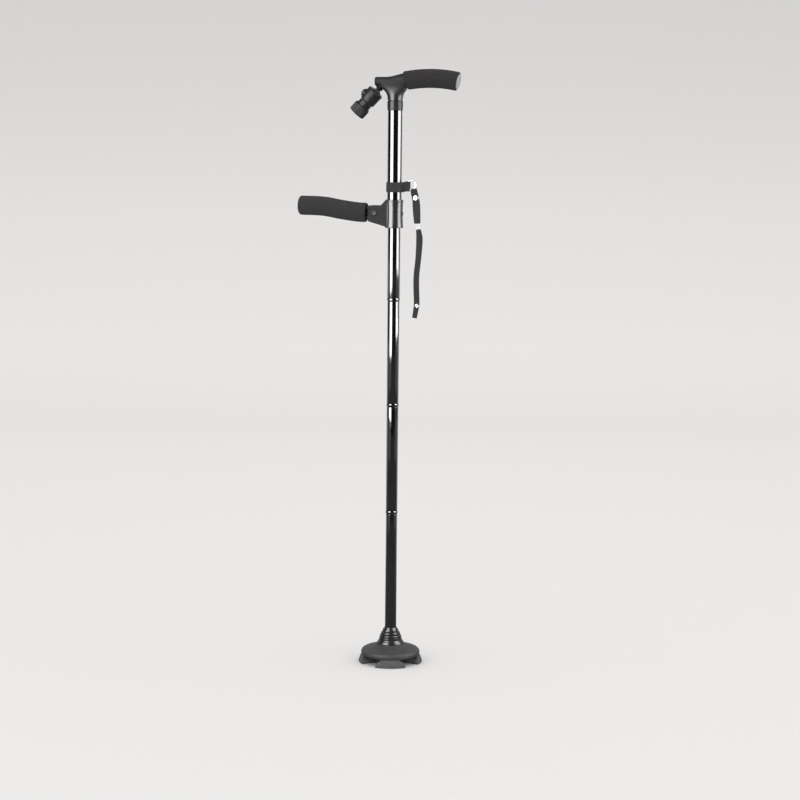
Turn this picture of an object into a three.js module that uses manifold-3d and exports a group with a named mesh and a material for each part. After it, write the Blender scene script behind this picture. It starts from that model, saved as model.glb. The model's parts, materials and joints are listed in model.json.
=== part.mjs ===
// Folding walking cane with a T handle, a fold-up second handle, a swivelling torch, a wrist strap and a
// tilting, swivelling base on four rubber lobes. Millimetres, +Z up, origin at the middle of the sole's
// underside on the shaft's axis. +X points along the main grip, -X to the torch and the second handle.

import * as THREE from "three";
import { mergeVertices } from "three/addons/utils/BufferGeometryUtils.js";
import Module from "manifold-3d";

const wasm = await Module();
wasm.setup();

// ---- driving dimensions -------------------------------------------------------------------------------

const GAP = 0.3; // clearance between neighbouring pieces
const SIDES = 16; // facets round a shaft-sized piece
const BASE_SIDES = 32; // facets round the base
const SOFT_SIDES = 16; // facets round the foam grips and their rods
const FEW = 12; // facets round a pin or screw
const MERGE = 1e-4; // vertices closer than this are one

const WALL = 1.2; // wall of the folding sections
const OUTER_R = 11; // outer tube
const OUTER_BORE = 10;
const INNER_R = 9.6; // telescoping inner tube
const SECTION_R = { 2: 9.1, 3: 8.95, 4: 8.75 }; // folding sections, top to bottom
const TUBE_4_FOOT = 47; // lower end of the lowest section
const JOINT_Z = [560.6, 399.7, 234]; // middles of the beaded fold joints, top to bottom
const BEAD_HALF = 2.5; // half a bead's length
const SPIGOT_LENGTH = 40; // how far a ferrule stands up into the section above
const SHANK_LENGTH = 28; // how far it is pressed into its own section
const CORD_R = 1.6; // elastic cord

const INNER_TOP = 775; // upper end of the inner tube
const BUTTON_Z = 767; // height button
const HOLE_PITCH = 12.5; // height holes
const HOLES_ABOVE = 4; // holes used to shorten the cane
const HOLES_BELOW = 2; // holes used to lengthen it
const OUTER_FOOT = 675.5; // lower end of the outer tube
const OUTER_TOP = 843.5; // upper end of the outer tube
const SCREW_Z = 834; // screw that holds the head in the outer tube

const BALL_Z = 24; // centre of the ankle ball
const BALL_R = 8.5;
const LINER_R = [8.8, 10.3]; // liner, inside and outside
const CUP_R = 10.8; // ball cup in the base

const DOME_R = 45;
const DOME_FOOT = 12.3; // underside of the dome's rim
const FOOT_R = 48.8; // outer radius of the rubber lobes
const LOBES = 4;
const LOBE_ANGLE = 28.5; // half the angle that a lobe spans at the floor, degrees
const LOBE_TOP_ANGLE = 19.5; // and at its top
const LOBE_TURN = 15; // the base stands turned by this about the shaft, degrees
const SCREWS = 3;

const PIVOT = new THREE.Vector3(-28.7, 0, 691); // second handle's pivot
const CHEEK_END = -38.4; // outer edge of the bracket's two cheeks
const CHEEK_HALF = 10.5; // half the bracket's width
const TONGUE_HALF = 4.2; // half the thickness of the second handle's tongue
const TONGUE_R = 9;
const TONGUE_FIT = 0.4; // room round the tongue in its slot
const TONGUE_END = -42.8; // where the tongue meets the foam
const PIVOT_R = 3;
const SLEEVE_FOOT = 668.5;
const SLEEVE_TOP = 711;

const GRIP_R = 14;
const GRIP_CORE_R = 8; // rod inside each foam grip
const CORE_FIT = 8.3; // bore of each foam grip
const GRIP_SPAN = [0.105, 0.965]; // the share of the handle's curve that the main grip covers

const TORCH_AXIS = new THREE.Vector3(-0.69, 0, -0.724).normalize();
const TORCH_UP = new THREE.Vector3(TORCH_AXIS.z, 0, -TORCH_AXIS.x); // towards the torch's button
const TORCH_REAR = new THREE.Vector3(-29.7, 0, 871.3); // middle of the torch's rear face
const EAR_REACH = 2.9; // from the rear face back to the tilt pin
const EAR_R = 2.6;

const STRAP_THICK = 2.6; // two layers of webbing

// ---- shape helpers ------------------------------------------------------------------------------------

const UP = new THREE.Vector3(0, 0, 1);
const root = new THREE.Group();

function volume(geometry) {
  const at = geometry.getAttribute("position");
  const corners = geometry.index.array;
  const [a, b, c] = [new THREE.Vector3(), new THREE.Vector3(), new THREE.Vector3()];
  let sum = 0;
  for (let i = 0; i < corners.length; i += 3) {
    a.fromBufferAttribute(at, corners[i]);
    b.fromBufferAttribute(at, corners[i + 1]);
    c.fromBufferAttribute(at, corners[i + 2]);
    sum += a.dot(b.cross(c)) / 6;
  }
  return sum;
}

// one closed, outward-facing mesh with shared vertices and no degenerate triangles
function closed(geometry) {
  const bare = new THREE.BufferGeometry();
  bare.setAttribute("position", geometry.getAttribute("position"));
  if (geometry.index) bare.setIndex(geometry.index);
  const merged = mergeVertices(bare, MERGE);
  const corners = merged.index.array;
  const kept = [];
  for (let i = 0; i < corners.length; i += 3) {
    const [a, b, c] = [corners[i], corners[i + 1], corners[i + 2]];
    if (a !== b && b !== c && c !== a) kept.push(a, b, c);
  }
  merged.setIndex(kept);
  if (volume(merged) < 0) {
    for (let i = 0; i < kept.length; i += 3) [kept[i], kept[i + 1]] = [kept[i + 1], kept[i]];
    merged.setIndex(kept);
  }
  return merged;
}

function toManifold(geometry) {
  const shape = closed(geometry);
  const vertProperties = new Float32Array(shape.getAttribute("position").array);
  const triVerts = new Uint32Array(shape.index.array);
  return new wasm.Manifold(new wasm.Mesh({ numProp: 3, vertProperties, triVerts }));
}

function fromManifold(solid) {
  const mesh = solid.getMesh();
  const geometry = new THREE.BufferGeometry();
  geometry.setAttribute("position", new THREE.BufferAttribute(mesh.vertProperties, 3));
  geometry.setIndex(new THREE.BufferAttribute(mesh.triVerts, 1));
  return geometry;
}

function cut(geometry, ...tools) {
  const solid = tools.reduce((left, tool) => left.subtract(toManifold(tool)), toManifold(geometry));
  return fromManifold(solid);
}

function join(geometry, ...others) {
  const solid = others.reduce((sum, other) => sum.add(toManifold(other)), toManifold(geometry));
  return fromManifold(solid);
}

function common(geometry, other) {
  return fromManifold(toManifold(geometry).intersect(toManifold(other)));
}

// a profile of [radius, height] points turned about +Z
function turned(profile, sides = SIDES) {
  const points = profile.map(([r, z]) => new THREE.Vector2(r, z));
  const geometry = new THREE.LatheGeometry(points, sides);
  geometry.rotateX(Math.PI / 2);
  return geometry;
}

function rod(r, low, high, sides = SIDES) {
  return turned([[0, low], [r, low], [r, high], [0, high]], sides);
}

function ring(inner, outer, low, high, sides = SIDES) {
  return turned([[inner, low], [outer, low], [outer, high], [inner, high], [inner, low]], sides);
}

// points on an arc about (r0, z0), angles in degrees from the +r direction
function arc(r0, z0, radius, from, to, steps) {
  const points = [];
  for (let i = 0; i <= steps; i += 1) {
    const angle = THREE.MathUtils.degToRad(from + ((to - from) * i) / steps);
    points.push([r0 + radius * Math.cos(angle), z0 + radius * Math.sin(angle)]);
  }
  return points;
}

// moves a shape made along +Z so that it starts at a point and runs along a direction
function placed(geometry, start, direction) {
  geometry.applyQuaternion(new THREE.Quaternion().setFromUnitVectors(UP, direction));
  geometry.translate(start.x, start.y, start.z);
  return geometry;
}

function box(low, high) {
  const size = high.map((value, i) => value - low[i]);
  const geometry = new THREE.BoxGeometry(...size);
  geometry.translate(...low.map((value, i) => value + size[i] / 2));
  return geometry;
}

// an outline in the XZ plane, pulled along Y from back to front
function slab(outline, yLow, yHigh) {
  const shape = new THREE.Shape(outline.map(([x, z]) => new THREE.Vector2(x, z)));
  const geometry = new THREE.ExtrudeGeometry(shape, { depth: yHigh - yLow, bevelEnabled: false });
  geometry.rotateX(Math.PI / 2);
  geometry.translate(0, yHigh, 0);
  return geometry;
}

function circle(radius, sides = SIDES) {
  const points = arc(0, 0, radius, 0, 360, sides).slice(0, -1);
  return new THREE.Shape(points.map(([x, y]) => new THREE.Vector2(x, y)));
}

function swept(radius, curve, steps, sides = SIDES) {
  return new THREE.ExtrudeGeometry(circle(radius, sides), { steps, extrudePath: curve, bevelEnabled: false });
}

// moves every vertex of a shape by a function of its position
function reshaped(geometry, move) {
  const at = geometry.getAttribute("position");
  for (let i = 0; i < at.count; i += 1) {
    const point = move(new THREE.Vector3().fromBufferAttribute(at, i));
    at.setXYZ(i, point.x, point.y, point.z);
  }
  return geometry;
}

function piece(name, geometry, material) {
  const mesh = new THREE.Mesh(closed(geometry), material());
  mesh.name = name;
  root.add(mesh);
}

const alongY = new THREE.Vector3(0, 1, 0);
const alongX = new THREE.Vector3(1, 0, 0);

// ---- materials ----------------------------------------------------------------------------------------

const finish = (color, roughness, metalness) => () =>
  new THREE.MeshStandardMaterial({ color, roughness, metalness });
const blackEnamel = finish(0x0b0b0c, 0.12, 0.3);
const satinPlastic = finish(0x2b2b2d, 0.4, 0);
const baseRubber = finish(0x3a3a3c, 0.65, 0);
const softRubber = finish(0x1e1e20, 0.35, 0);
const foam = finish(0x2f2e2f, 0.95, 0);
const webbing = finish(0x1c1b1c, 0.9, 0);
const capPlastic = finish(0xa6a6a8, 0.45, 0);
const brightSteel = finish(0xd0d0d2, 0.2, 1);
const springSteel = finish(0x8f9092, 0.35, 1);
const nylon = finish(0xe4e2dc, 0.5, 0);
const clearPlastic = finish(0xdfe6ea, 0.05, 0);
const boardGreen = finish(0x1c5a34, 0.5, 0);
const cordElastic = finish(0x3a3a3a, 0.9, 0);

// ---- base ---------------------------------------------------------------------------------------------

function lobe(turn) {
  const half = THREE.MathUtils.degToRad(LOBE_ANGLE);
  const top = DOME_FOOT - GAP;
  const shape = new THREE.Shape();
  shape.moveTo(16 * Math.cos(half), -16 * Math.sin(half));
  shape.lineTo(FOOT_R * Math.cos(half), -FOOT_R * Math.sin(half));
  shape.absarc(0, 0, FOOT_R, -half, half, false);
  shape.lineTo(16 * Math.cos(half), 16 * Math.sin(half));
  const geometry = new THREE.ExtrudeGeometry(shape, {
    depth: top, steps: 4, curveSegments: 6, bevelEnabled: false,
  });
  const narrowing = LOBE_TOP_ANGLE / LOBE_ANGLE;
  reshaped(geometry, (point) => {
    const rise = THREE.MathUtils.smoothstep(point.z, 0, 10.5);
    const angle = Math.atan2(point.y, point.x) * (1 + (narrowing - 1) * rise);
    const reach = Math.hypot(point.x, point.y);
    const slim = reach > 20 ? reach + (DOME_R - FOOT_R) * rise : reach;
    return new THREE.Vector3(slim * Math.cos(angle), slim * Math.sin(angle), point.z);
  });
  geometry.rotateZ(turn);
  return geometry;
}

function solePad() {
  const turns = [...Array(LOBES).keys()].map((i) => (i * 2 * Math.PI) / LOBES);
  const hub = rod(24, 0, 10.3);
  return cut(join(hub, ...turns.map(lobe)), rod(27.8, 10.3, 20));
}

function screwPlaces() {
  const angles = [...Array(SCREWS).keys()].map((i) => ((i + 0.5) * 2 * Math.PI) / SCREWS);
  return angles.map((angle) => new THREE.Vector3(20.5 * Math.cos(angle), 20.5 * Math.sin(angle), 0));
}

function baseDome() {
  const shell = turned([
    [DOME_R, DOME_FOOT], [DOME_R, 18.2], [44, 19.6], [40, 21], [35, 22.4], [30, 23.9], [25, 25.9],
    [21.5, 28.2], [21.5, 29.2], [14.6, 29.2], [14.6, 15], [27, 15], [28.5, 20], [40, 17.8], [42.5, 16.6],
    [42.5, DOME_FOOT], [DOME_R, DOME_FOOT],
  ], BASE_SIDES);
  return cut(shell, ...screwPlaces().map((at) => placed(rod(1.9, 14, 23, FEW), at, UP)));
}

function ballSocket() {
  const bowl = arc(0, BALL_Z, CUP_R, -1, -90, 7);
  const body = turned([
    [0, 10.6], [27, 10.6], [27, 14.7], [14.3, 14.7], [14.3, BALL_Z - 0.2], ...bowl,
  ]);
  const head = [[0, 10], [3.4, 10], [3.4, 11], [1.9, 12.6], [1.9, 16], [0, 16]];
  return cut(body, ...screwPlaces().map((at) => placed(turned(head, FEW), at, UP)));
}

function baseScrew(at) {
  const shape = turned([[0, 10.7], [3, 10.7], [3, 11.1], [1.6, 12.5], [1.6, 22.4], [0, 22.7]], FEW);
  return placed(shape, at, UP);
}

function socketLiner() {
  const inside = arc(0, BALL_Z, LINER_R[0], -42, 42, 8);
  const outside = arc(0, BALL_Z, LINER_R[1], 35, -35, 8);
  return turned([...inside, ...outside, inside[0]]);
}

function retainingRing() {
  const bowl = arc(0, BALL_Z, CUP_R, 27, 2, 4);
  return turned([[14.3, BALL_Z + 0.2], [14.3, 28.9], ...bowl, [14.3, BALL_Z + 0.2]]);
}

function ballStud() {
  const ball = arc(0, BALL_Z, BALL_R, -90, 58, 9);
  return turned([...ball, [4.5, 33], [4.5, 44], [3.5, 44], [3.5, 65], [0, 65]]);
}

function ankleBoot() {
  return turned([
    [15.5, 29.5], [21.2, 29.5], [21, 30.4], [19.2, 31.6], [17.9, 33.4], [17.6, 36.4], [16.9, 38.4],
    [15.9, 39], [16.3, 40.6], [15.8, 42.6], [14.5, 43.4], [14.6, 45], [13.6, 47], [12.4, 47.8],
    [12.2, 49.4], [10.7, 51.6], [10.2, 54.2], [9.1, 54.2], [9.1, 46], [12, 42], [13.5, 37], [15.5, 29.5],
  ]);
}

function base() {
  const turn = THREE.MathUtils.degToRad(LOBE_TURN - 90);
  piece("sole_pad", solePad().rotateZ(turn), baseRubber);
  piece("base_dome", baseDome(), satinPlastic);
  piece("ball_socket", ballSocket(), nylon);
  piece("retaining_ring", retainingRing(), nylon);
  screwPlaces().forEach((at, i) => piece(`base_screw_${i + 1}`, baseScrew(at), springSteel));
  piece("ankle_boot", ankleBoot(), softRubber);
  piece("socket_liner", socketLiner(), nylon);
  piece("ball_stud", ballStud(), springSteel);
}

// ---- folding shaft ------------------------------------------------------------------------------------

function stemPlug() {
  const bore = 3.8;
  const fit = SECTION_R[4] - WALL - GAP;
  const body = turned([
    [bore, 44.4], [8.6, 44.4], [8.6, TUBE_4_FOOT - GAP], [fit, TUBE_4_FOOT - GAP], [fit, 63], [bore, 63],
    [bore, 44.4],
  ]);
  return cut(body, placed(rod(1.5, 0, 20, FEW), new THREE.Vector3(0, 4.2, 50.5), alongY));
}

function plugPin() {
  return placed(rod(1.2, 4.4, 8.6, FEW), new THREE.Vector3(0, 0, 50.5), alongY);
}

// hollow spigot: pressed into the section below, beaded at the joint, sliding into the section above
function ferrule(jointZ, lowerR, upperR) {
  const shank = lowerR - WALL - GAP;
  const spigot = upperR - WALL - GAP;
  const bead = Math.max(lowerR, upperR) + 0.35;
  const low = jointZ - BEAD_HALF;
  const high = jointZ + BEAD_HALF;
  return turned([
    [3, low - SHANK_LENGTH], [shank, low - SHANK_LENGTH], [shank, low], [bead - 0.5, low], [bead, low + 1],
    [bead, high - 1], [bead - 0.5, high], [spigot, high], [spigot, high + SPIGOT_LENGTH - 6],
    [spigot - 1.2, high + SPIGOT_LENGTH], [3, high + SPIGOT_LENGTH], [3, low - SHANK_LENGTH],
  ]);
}

function section(radius, low, high) {
  return ring(radius - WALL, radius, low, high);
}

function lowestTube() {
  const body = section(SECTION_R[4], TUBE_4_FOOT, JOINT_Z[2] - BEAD_HALF - GAP);
  return cut(body, placed(rod(1.5, 5, 12, FEW), new THREE.Vector3(0, 0, 50.5), alongY));
}

function innerTube() {
  const body = section(INNER_R, JOINT_Z[0] + BEAD_HALF + GAP, INNER_TOP);
  return cut(body, placed(rod(3.4, 4, 14, FEW), new THREE.Vector3(0, 0, BUTTON_Z), alongY));
}

function cordAnchor(low, radius) {
  return ring(CORD_R + GAP, radius, low, low + 10);
}

// flat leaf that pushes the button out and braces on the far wall
function buttonSpring() {
  const outer = [[4.9, 770], [4.9, 762], [-1.4, 741], [-4, 736.5], [-6.8, 741], [-7.4, 770]];
  const inner = [[-6.8, 770], [-6.3, 741.5], [-4, 738], [-2, 741.6], [4.2, 762.5], [4.2, 770]];
  const geometry = slab([...outer, ...inner], -2.4, 2.4);
  geometry.rotateZ(Math.PI / 2);
  return geometry;
}

function heightButton() {
  const shape = turned([[0, 5.3], [4, 5.3], [4, 6.1], [3, 6.1], [3, 11.9], [2.2, 12.7], [0, 12.7]], FEW);
  return placed(shape, new THREE.Vector3(0, 0, BUTTON_Z), alongY);
}

function shaft() {
  const lowAnchor = 85;
  const highAnchor = 612;
  piece("stem_plug", stemPlug(), nylon);
  piece("plug_pin", plugPin(), springSteel);
  piece("tube_4", lowestTube(), blackEnamel);
  piece("tube_3", section(SECTION_R[3], JOINT_Z[2] + BEAD_HALF + GAP, JOINT_Z[1] - BEAD_HALF - GAP),
    blackEnamel);
  piece("tube_2", section(SECTION_R[2], JOINT_Z[1] + BEAD_HALF + GAP, JOINT_Z[0] - BEAD_HALF - GAP),
    blackEnamel);
  piece("inner_tube", innerTube(), blackEnamel);
  piece("ferrule_1", ferrule(JOINT_Z[0], SECTION_R[2], INNER_R), blackEnamel);
  piece("ferrule_2", ferrule(JOINT_Z[1], SECTION_R[3], SECTION_R[2]), blackEnamel);
  piece("ferrule_3", ferrule(JOINT_Z[2], SECTION_R[4], SECTION_R[3]), blackEnamel);
  piece("cord_anchor_bottom", cordAnchor(lowAnchor, SECTION_R[4] - WALL - GAP), nylon);
  piece("cord_anchor_top", cordAnchor(highAnchor, INNER_R - WALL - GAP), nylon);
  piece("elastic_cord", rod(CORD_R, lowAnchor - 3, highAnchor + 13, 8), cordElastic);
  piece("button_spring", buttonSpring(), springSteel);
  piece("height_button", heightButton(), brightSteel);
}

// ---- outer tube and head ------------------------------------------------------------------------------

function outerTube() {
  const body = ring(OUTER_BORE, OUTER_R, OUTER_FOOT, OUTER_TOP);
  const holes = [];
  for (let i = -HOLES_BELOW; i <= HOLES_ABOVE; i += 1) {
    const at = new THREE.Vector3(0, 0, BUTTON_Z + i * HOLE_PITCH);
    holes.push(placed(rod(3.4, 4, 14, FEW), at, alongY));
  }
  const screwHole = placed(rod(1.9, 4, 14, FEW), new THREE.Vector3(0, 0, SCREW_Z), alongY);
  return cut(body, ...holes, screwHole);
}

const mainCurve = () => new THREE.QuadraticBezierCurve3(
  new THREE.Vector3(5, 0, 885.3), new THREE.Vector3(54, 0, 896.2), new THREE.Vector3(99, 0, 885.5));

// the stretch of the main curve between two shares of its length
class Stretch extends THREE.Curve {
  constructor(from, to) {
    super();
    this.shares = [from, to];
  }

  getPoint(t) {
    const [from, to] = this.shares;
    return mainCurve().getPoint(from + (to - from) * t);
  }
}

const gripCurve = () => new Stretch(...GRIP_SPAN);

// the horizontal arm: a round bar whose height, width and level change along X
function headArm() {
  const low = -30.2;
  const high = 19.6;
  const bar = new THREE.CylinderGeometry(1, 1, high - low, SIDES, 8);
  bar.rotateZ(-Math.PI / 2);
  bar.translate((low + high) / 2, 0, 0);
  return reshaped(bar, (point) => {
    const along = THREE.MathUtils.smoothstep(point.x, -14, 20);
    const foot = 879.4 - 3.4 * along;
    const crown = 893.2 + 6 * along;
    const half = 9.2 + 3 * THREE.MathUtils.smoothstep(point.x, -24, 4);
    const level = (foot + crown) / 2 + (point.z * (crown - foot)) / 2;
    return new THREE.Vector3(point.x, point.y * half, level);
  });
}

function handleHead() {
  const flare = turned([
    [0, 858.5], [11.4, 858.5], [11.5, 861], [12, 864], [13.2, 868], [15.6, 871.5], [19.5, 874.8],
    [26, 878.6], [26, 884], [0, 884],
  ]);
  const stem = common(flare, box([-27, -12, 850], [16.2, 12, 890]));
  const spigot = rod(OUTER_BORE - GAP, 825.6, 862);
  const lampHole = turned([[0, 3.4], [5.9, 3.4], [5.9, 6.8], [5, 6.8], [5, 14], [0, 14]], FEW);
  const lamp = placed(lampHole, tiltPin(), TORCH_AXIS.clone().negate());
  const beyond = placed(rod(30, -GAP, 40), gripCurve().getPoint(0), gripCurve().getTangent(0));
  const socket = swept(CORE_FIT, mainCurve(), 7, SOFT_SIDES);
  const screw = placed(rod(1.7, 2.5, 14, FEW), new THREE.Vector3(0, 0, SCREW_Z), alongY);
  return cut(join(headArm(), stem, spigot), lamp, socket, screw, beyond);
}

function headScrew() {
  const shape = turned([[0, 3], [1.4, 3], [1.4, OUTER_R + 0.2], [2.8, OUTER_R + 0.2], [2.4, 12.4],
    [0, 12.4]], FEW);
  return placed(shape, new THREE.Vector3(0, 0, SCREW_Z), alongY);
}

function mainGrip() {
  const body = swept(GRIP_R, gripCurve(), 7, SOFT_SIDES);
  return cut(body, swept(CORE_FIT, mainCurve(), 7, SOFT_SIDES));
}

function gripEndCap() {
  const end = gripCurve().getPoint(1);
  const direction = gripCurve().getTangent(1);
  const start = end.clone().addScaledVector(direction, GAP);
  return placed(turned([[0, 0], [11.2, 0], [11.2, 0.9], [10.4, 1.5], [0, 1.5]]), start, direction);
}

function upperPart() {
  piece("outer_tube", outerTube(), blackEnamel);
  piece("tube_bush", ring(INNER_R + GAP, OUTER_R, 669.4, OUTER_FOOT - GAP), nylon);
  piece("head_collar", ring(OUTER_BORE, 11.6, OUTER_TOP + GAP, 858.2), satinPlastic);
  piece("handle_head", handleHead(), satinPlastic);
  piece("handle_core", swept(GRIP_CORE_R, new Stretch(0, GRIP_SPAN[1]), 7, SOFT_SIDES), springSteel);
  piece("main_grip", mainGrip(), foam);
  piece("grip_end_cap", gripEndCap(), capPlastic);
  piece("head_screw", headScrew(), springSteel);
}

// ---- torch --------------------------------------------------------------------------------------------

function tiltPin() {
  return TORCH_REAR.clone().addScaledVector(TORCH_AXIS, -EAR_REACH);
}

// a shape made along +Z with its rear face at zero, set on the torch's axis
function onTorch(geometry) {
  geometry.rotateZ(Math.PI / 2);
  const basis = new THREE.Matrix4().makeBasis(alongY.clone().cross(TORCH_AXIS), alongY, TORCH_AXIS);
  geometry.applyMatrix4(basis);
  geometry.translate(TORCH_REAR.x, TORCH_REAR.y, TORCH_REAR.z);
  return geometry;
}

// a round piece that stands off the torch's side under the button, from one radius to another
function onTorchSide(profile, along) {
  const at = TORCH_REAR.clone().addScaledVector(TORCH_AXIS, along);
  return placed(turned(profile, FEW), at, TORCH_UP);
}

function torchStub() {
  const body = turned([[0, -13.6], [4.7, -13.6], [4.7, -6.4], [5.6, -6], [5.6, -4.4], [0, -4.4]], FEW);
  const bore = rod(1.9, -9, -4, FEW);
  return placed(cut(body, bore), tiltPin(), TORCH_AXIS);
}

function torchKnuckle() {
  const disc = rod(5, -4.1, -2.9, FEW);
  const stem = rod(1.6, -8.4, -3, FEW);
  const eye = placed(rod(EAR_R, -1.8, 1.8, FEW), new THREE.Vector3(), alongY);
  const neck = box([-2.2, -1.8, -3.2], [2.2, 1.8, 0]);
  const hole = placed(rod(1.3, -4, 4, FEW), new THREE.Vector3(), alongY);
  return placed(cut(join(disc, stem, eye, neck), hole), tiltPin(), TORCH_AXIS);
}

function torchTailCap() {
  const cap = turned([[0, 0], [11.6, 0], [12.7, 1.1], [12.7, 4.7], [0, 4.7]]);
  const ears = [-1, 1].map((side) => {
    const low = side > 0 ? 2.1 : -4.3;
    const eye = placed(rod(EAR_R, low, low + 2.2, FEW), new THREE.Vector3(0, 0, -EAR_REACH), alongY);
    return join(eye, box([-EAR_R, low, -EAR_REACH], [EAR_R, low + 2.2, 0.5]));
  });
  const hole = placed(rod(1.3, -6, 6, FEW), new THREE.Vector3(0, 0, -EAR_REACH), alongY);
  return placed(cut(join(cap, ...ears), hole), TORCH_REAR, TORCH_AXIS);
}

function torchBody() {
  const tube = onTorch(turned([
    [9.3, 5], [12.3, 5], [12.3, 19.6], [10.2, 21.4], [10.2, 28.8], [7.4, 28.8], [7.4, 26], [9.3, 24], [9.3, 5],
  ]));
  const boss = onTorchSide([[0, 10.6], [6.4, 10.6], [6.4, 13.6], [5.6, 14.3], [0, 14.3]], 13);
  const bore = onTorchSide([[0, 8], [4.4, 8], [4.4, 16], [0, 16]], 13);
  return cut(join(tube, boss), bore);
}

function torchBezel() {
  const body = turned([
    [7.4, 29.1], [11.6, 29.1], [12.2, 29.8], [12.2, 44], [11, 44], [11, 32.6], [7.4, 32.6], [7.4, 29.1],
  ]);
  const ribs = [...Array(FEW).keys()].map((i) => {
    const rib = box([11.6, -1, 31], [12.8, 1, 43]);
    return rib.rotateZ((i * 2 * Math.PI) / FEW);
  });
  return onTorch(join(body, ...ribs));
}

function torchReflector() {
  return onTorch(turned([[2.4, 35], [3.4, 35], [10.6, 41], [10.2, 41.2], [2.4, 36.2], [2.4, 35]]));
}

function torchLed() {
  return onTorch(turned([[0, 33], [10.4, 33], [10.4, 34.4], [1.9, 34.4], [1.9, 36.4], [1, 37.4], [0, 37.6]]));
}

function torchSpring() {
  class Coil extends THREE.Curve {
    getPoint(t) {
      const angle = t * 3 * 2 * Math.PI;
      return new THREE.Vector3(3.2 * Math.cos(angle), 3.2 * Math.sin(angle), 5.6 + 5.2 * t);
    }
  }
  return onTorch(swept(0.4, new Coil(), 27, 5));
}

function torch() {
  piece("torch_stub", torchStub(), satinPlastic);
  piece("torch_knuckle", torchKnuckle(), satinPlastic);
  piece("torch_tilt_pin", placed(rod(1, -4.3, 4.3, FEW), tiltPin(), alongY), springSteel);
  piece("torch_tail_cap", torchTailCap(), satinPlastic);
  piece("torch_body", torchBody(), satinPlastic);
  piece("torch_bezel", torchBezel(), satinPlastic);
  piece("torch_reflector", torchReflector(), brightSteel);
  piece("torch_led", torchLed(), boardGreen);
  piece("torch_lens", onTorch(rod(10.7, 41.6, 43.2)), clearPlastic);
  piece("torch_cell_1", onTorch(rod(5.8, 11.4, 16.8)), springSteel);
  piece("torch_cell_2", onTorch(rod(5.8, 17.1, 22.5)), springSteel);
  piece("torch_spring", torchSpring(), springSteel);
  const button = [[0, 11.2], [3.9, 11.2], [3.9, 15.2], [3, 16.1], [0, 16.5]];
  piece("torch_button", onTorchSide(button, 13), softRubber);
}

// ---- second handle ------------------------------------------------------------------------------------

function sleeveShell() {
  return turned([
    [OUTER_R + GAP, SLEEVE_FOOT], [13.9, SLEEVE_FOOT], [13.3, 674], [12.9, 684], [12.9, 697], [13.3, 706],
    [13.9, SLEEVE_TOP], [OUTER_R + GAP, SLEEVE_TOP], [OUTER_R + GAP, SLEEVE_FOOT],
  ]);
}

// web and two cheeks that carry the pivot: a sloping foot, a rounded outer corner and a wedge at the top
function gusset() {
  const outline = [
    [-8, 669.5], [CHEEK_END, 678.1], ...arc(CHEEK_END + 3, PIVOT.z + 8, 3, 180, 90, 4),
    [-19, PIVOT.z + 11], [-12.5, 709], [-8, 710.4],
  ];
  return slab(outline, -CHEEK_HALF, CHEEK_HALF);
}

// room for the second handle's tongue, open at the end and at the top so that it can fold up
function tongueSlot() {
  const reach = TONGUE_R + TONGUE_FIT;
  const outline = [
    [-60, PIVOT.z - reach], ...arc(PIVOT.x, PIVOT.z, reach, -90, 0, 8), [PIVOT.x + reach, 730], [-60, 730],
  ];
  return slab(outline, -TONGUE_HALF - TONGUE_FIT, TONGUE_HALF + TONGUE_FIT);
}

function handleSleeve() {
  const bore = rod(OUTER_R + GAP, SLEEVE_FOOT - 5, SLEEVE_TOP + 5);
  const pin = placed(rod(PIVOT_R + GAP, -20, 20, FEW), PIVOT, alongY);
  const screw = placed(turned([[0, 10], [1.8, 10], [1.8, 12.6], [3.2, 12.6], [3.2, 20], [0, 20]], FEW),
    new THREE.Vector3(0, 0, 690), alongX);
  return cut(join(sleeveShell(), gusset()), bore, tongueSlot(), pin, screw);
}

function sleeveScrew() {
  const shape = turned([[0, 11.4], [1.5, 11.4], [1.5, 12.8], [2.9, 12.8], [2.5, 13.8], [0, 14]], FEW);
  return placed(shape, new THREE.Vector3(0, 0, 690), alongX);
}

const secondCurve = () => new THREE.CatmullRomCurve3([
  new THREE.Vector3(-42.7, 0, 691), new THREE.Vector3(-58, 0, 691.6), new THREE.Vector3(-84, 0, 695),
  new THREE.Vector3(-112, 0, 699.4), new THREE.Vector3(-149, 0, 700.4),
]);

function secondCore() {
  const round = arc(PIVOT.x, PIVOT.z, TONGUE_R, -90, 90, 12);
  const outline = [[TONGUE_END, PIVOT.z - TONGUE_R], ...round, [TONGUE_END, PIVOT.z + TONGUE_R]];
  const hole = placed(rod(PIVOT_R + GAP, -20, 20, FEW), PIVOT, alongY);
  const tongue = cut(slab(outline, -TONGUE_HALF, TONGUE_HALF), hole);
  const bar = common(swept(GRIP_CORE_R, secondCurve(), 9, SOFT_SIDES), box([-142, -20, 650], [-30, 20, 730]));
  const heelStart = new THREE.Vector3(TONGUE_END + 0.2, 0, PIVOT.z);
  const heel = placed(rod(GRIP_CORE_R, 0, 3, SOFT_SIDES), heelStart, alongX.clone().negate());
  return join(tongue, bar, heel);
}

function secondGrip() {
  const body = common(swept(GRIP_R + 0.2, secondCurve(), 9, SOFT_SIDES), box([-160, -20, 650], [-43, 20, 730]));
  const bore = common(swept(CORE_FIT, secondCurve(), 9, SOFT_SIDES), box([-142.6, -20, 650], [-20, 20, 730]));
  return cut(body, bore);
}

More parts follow.
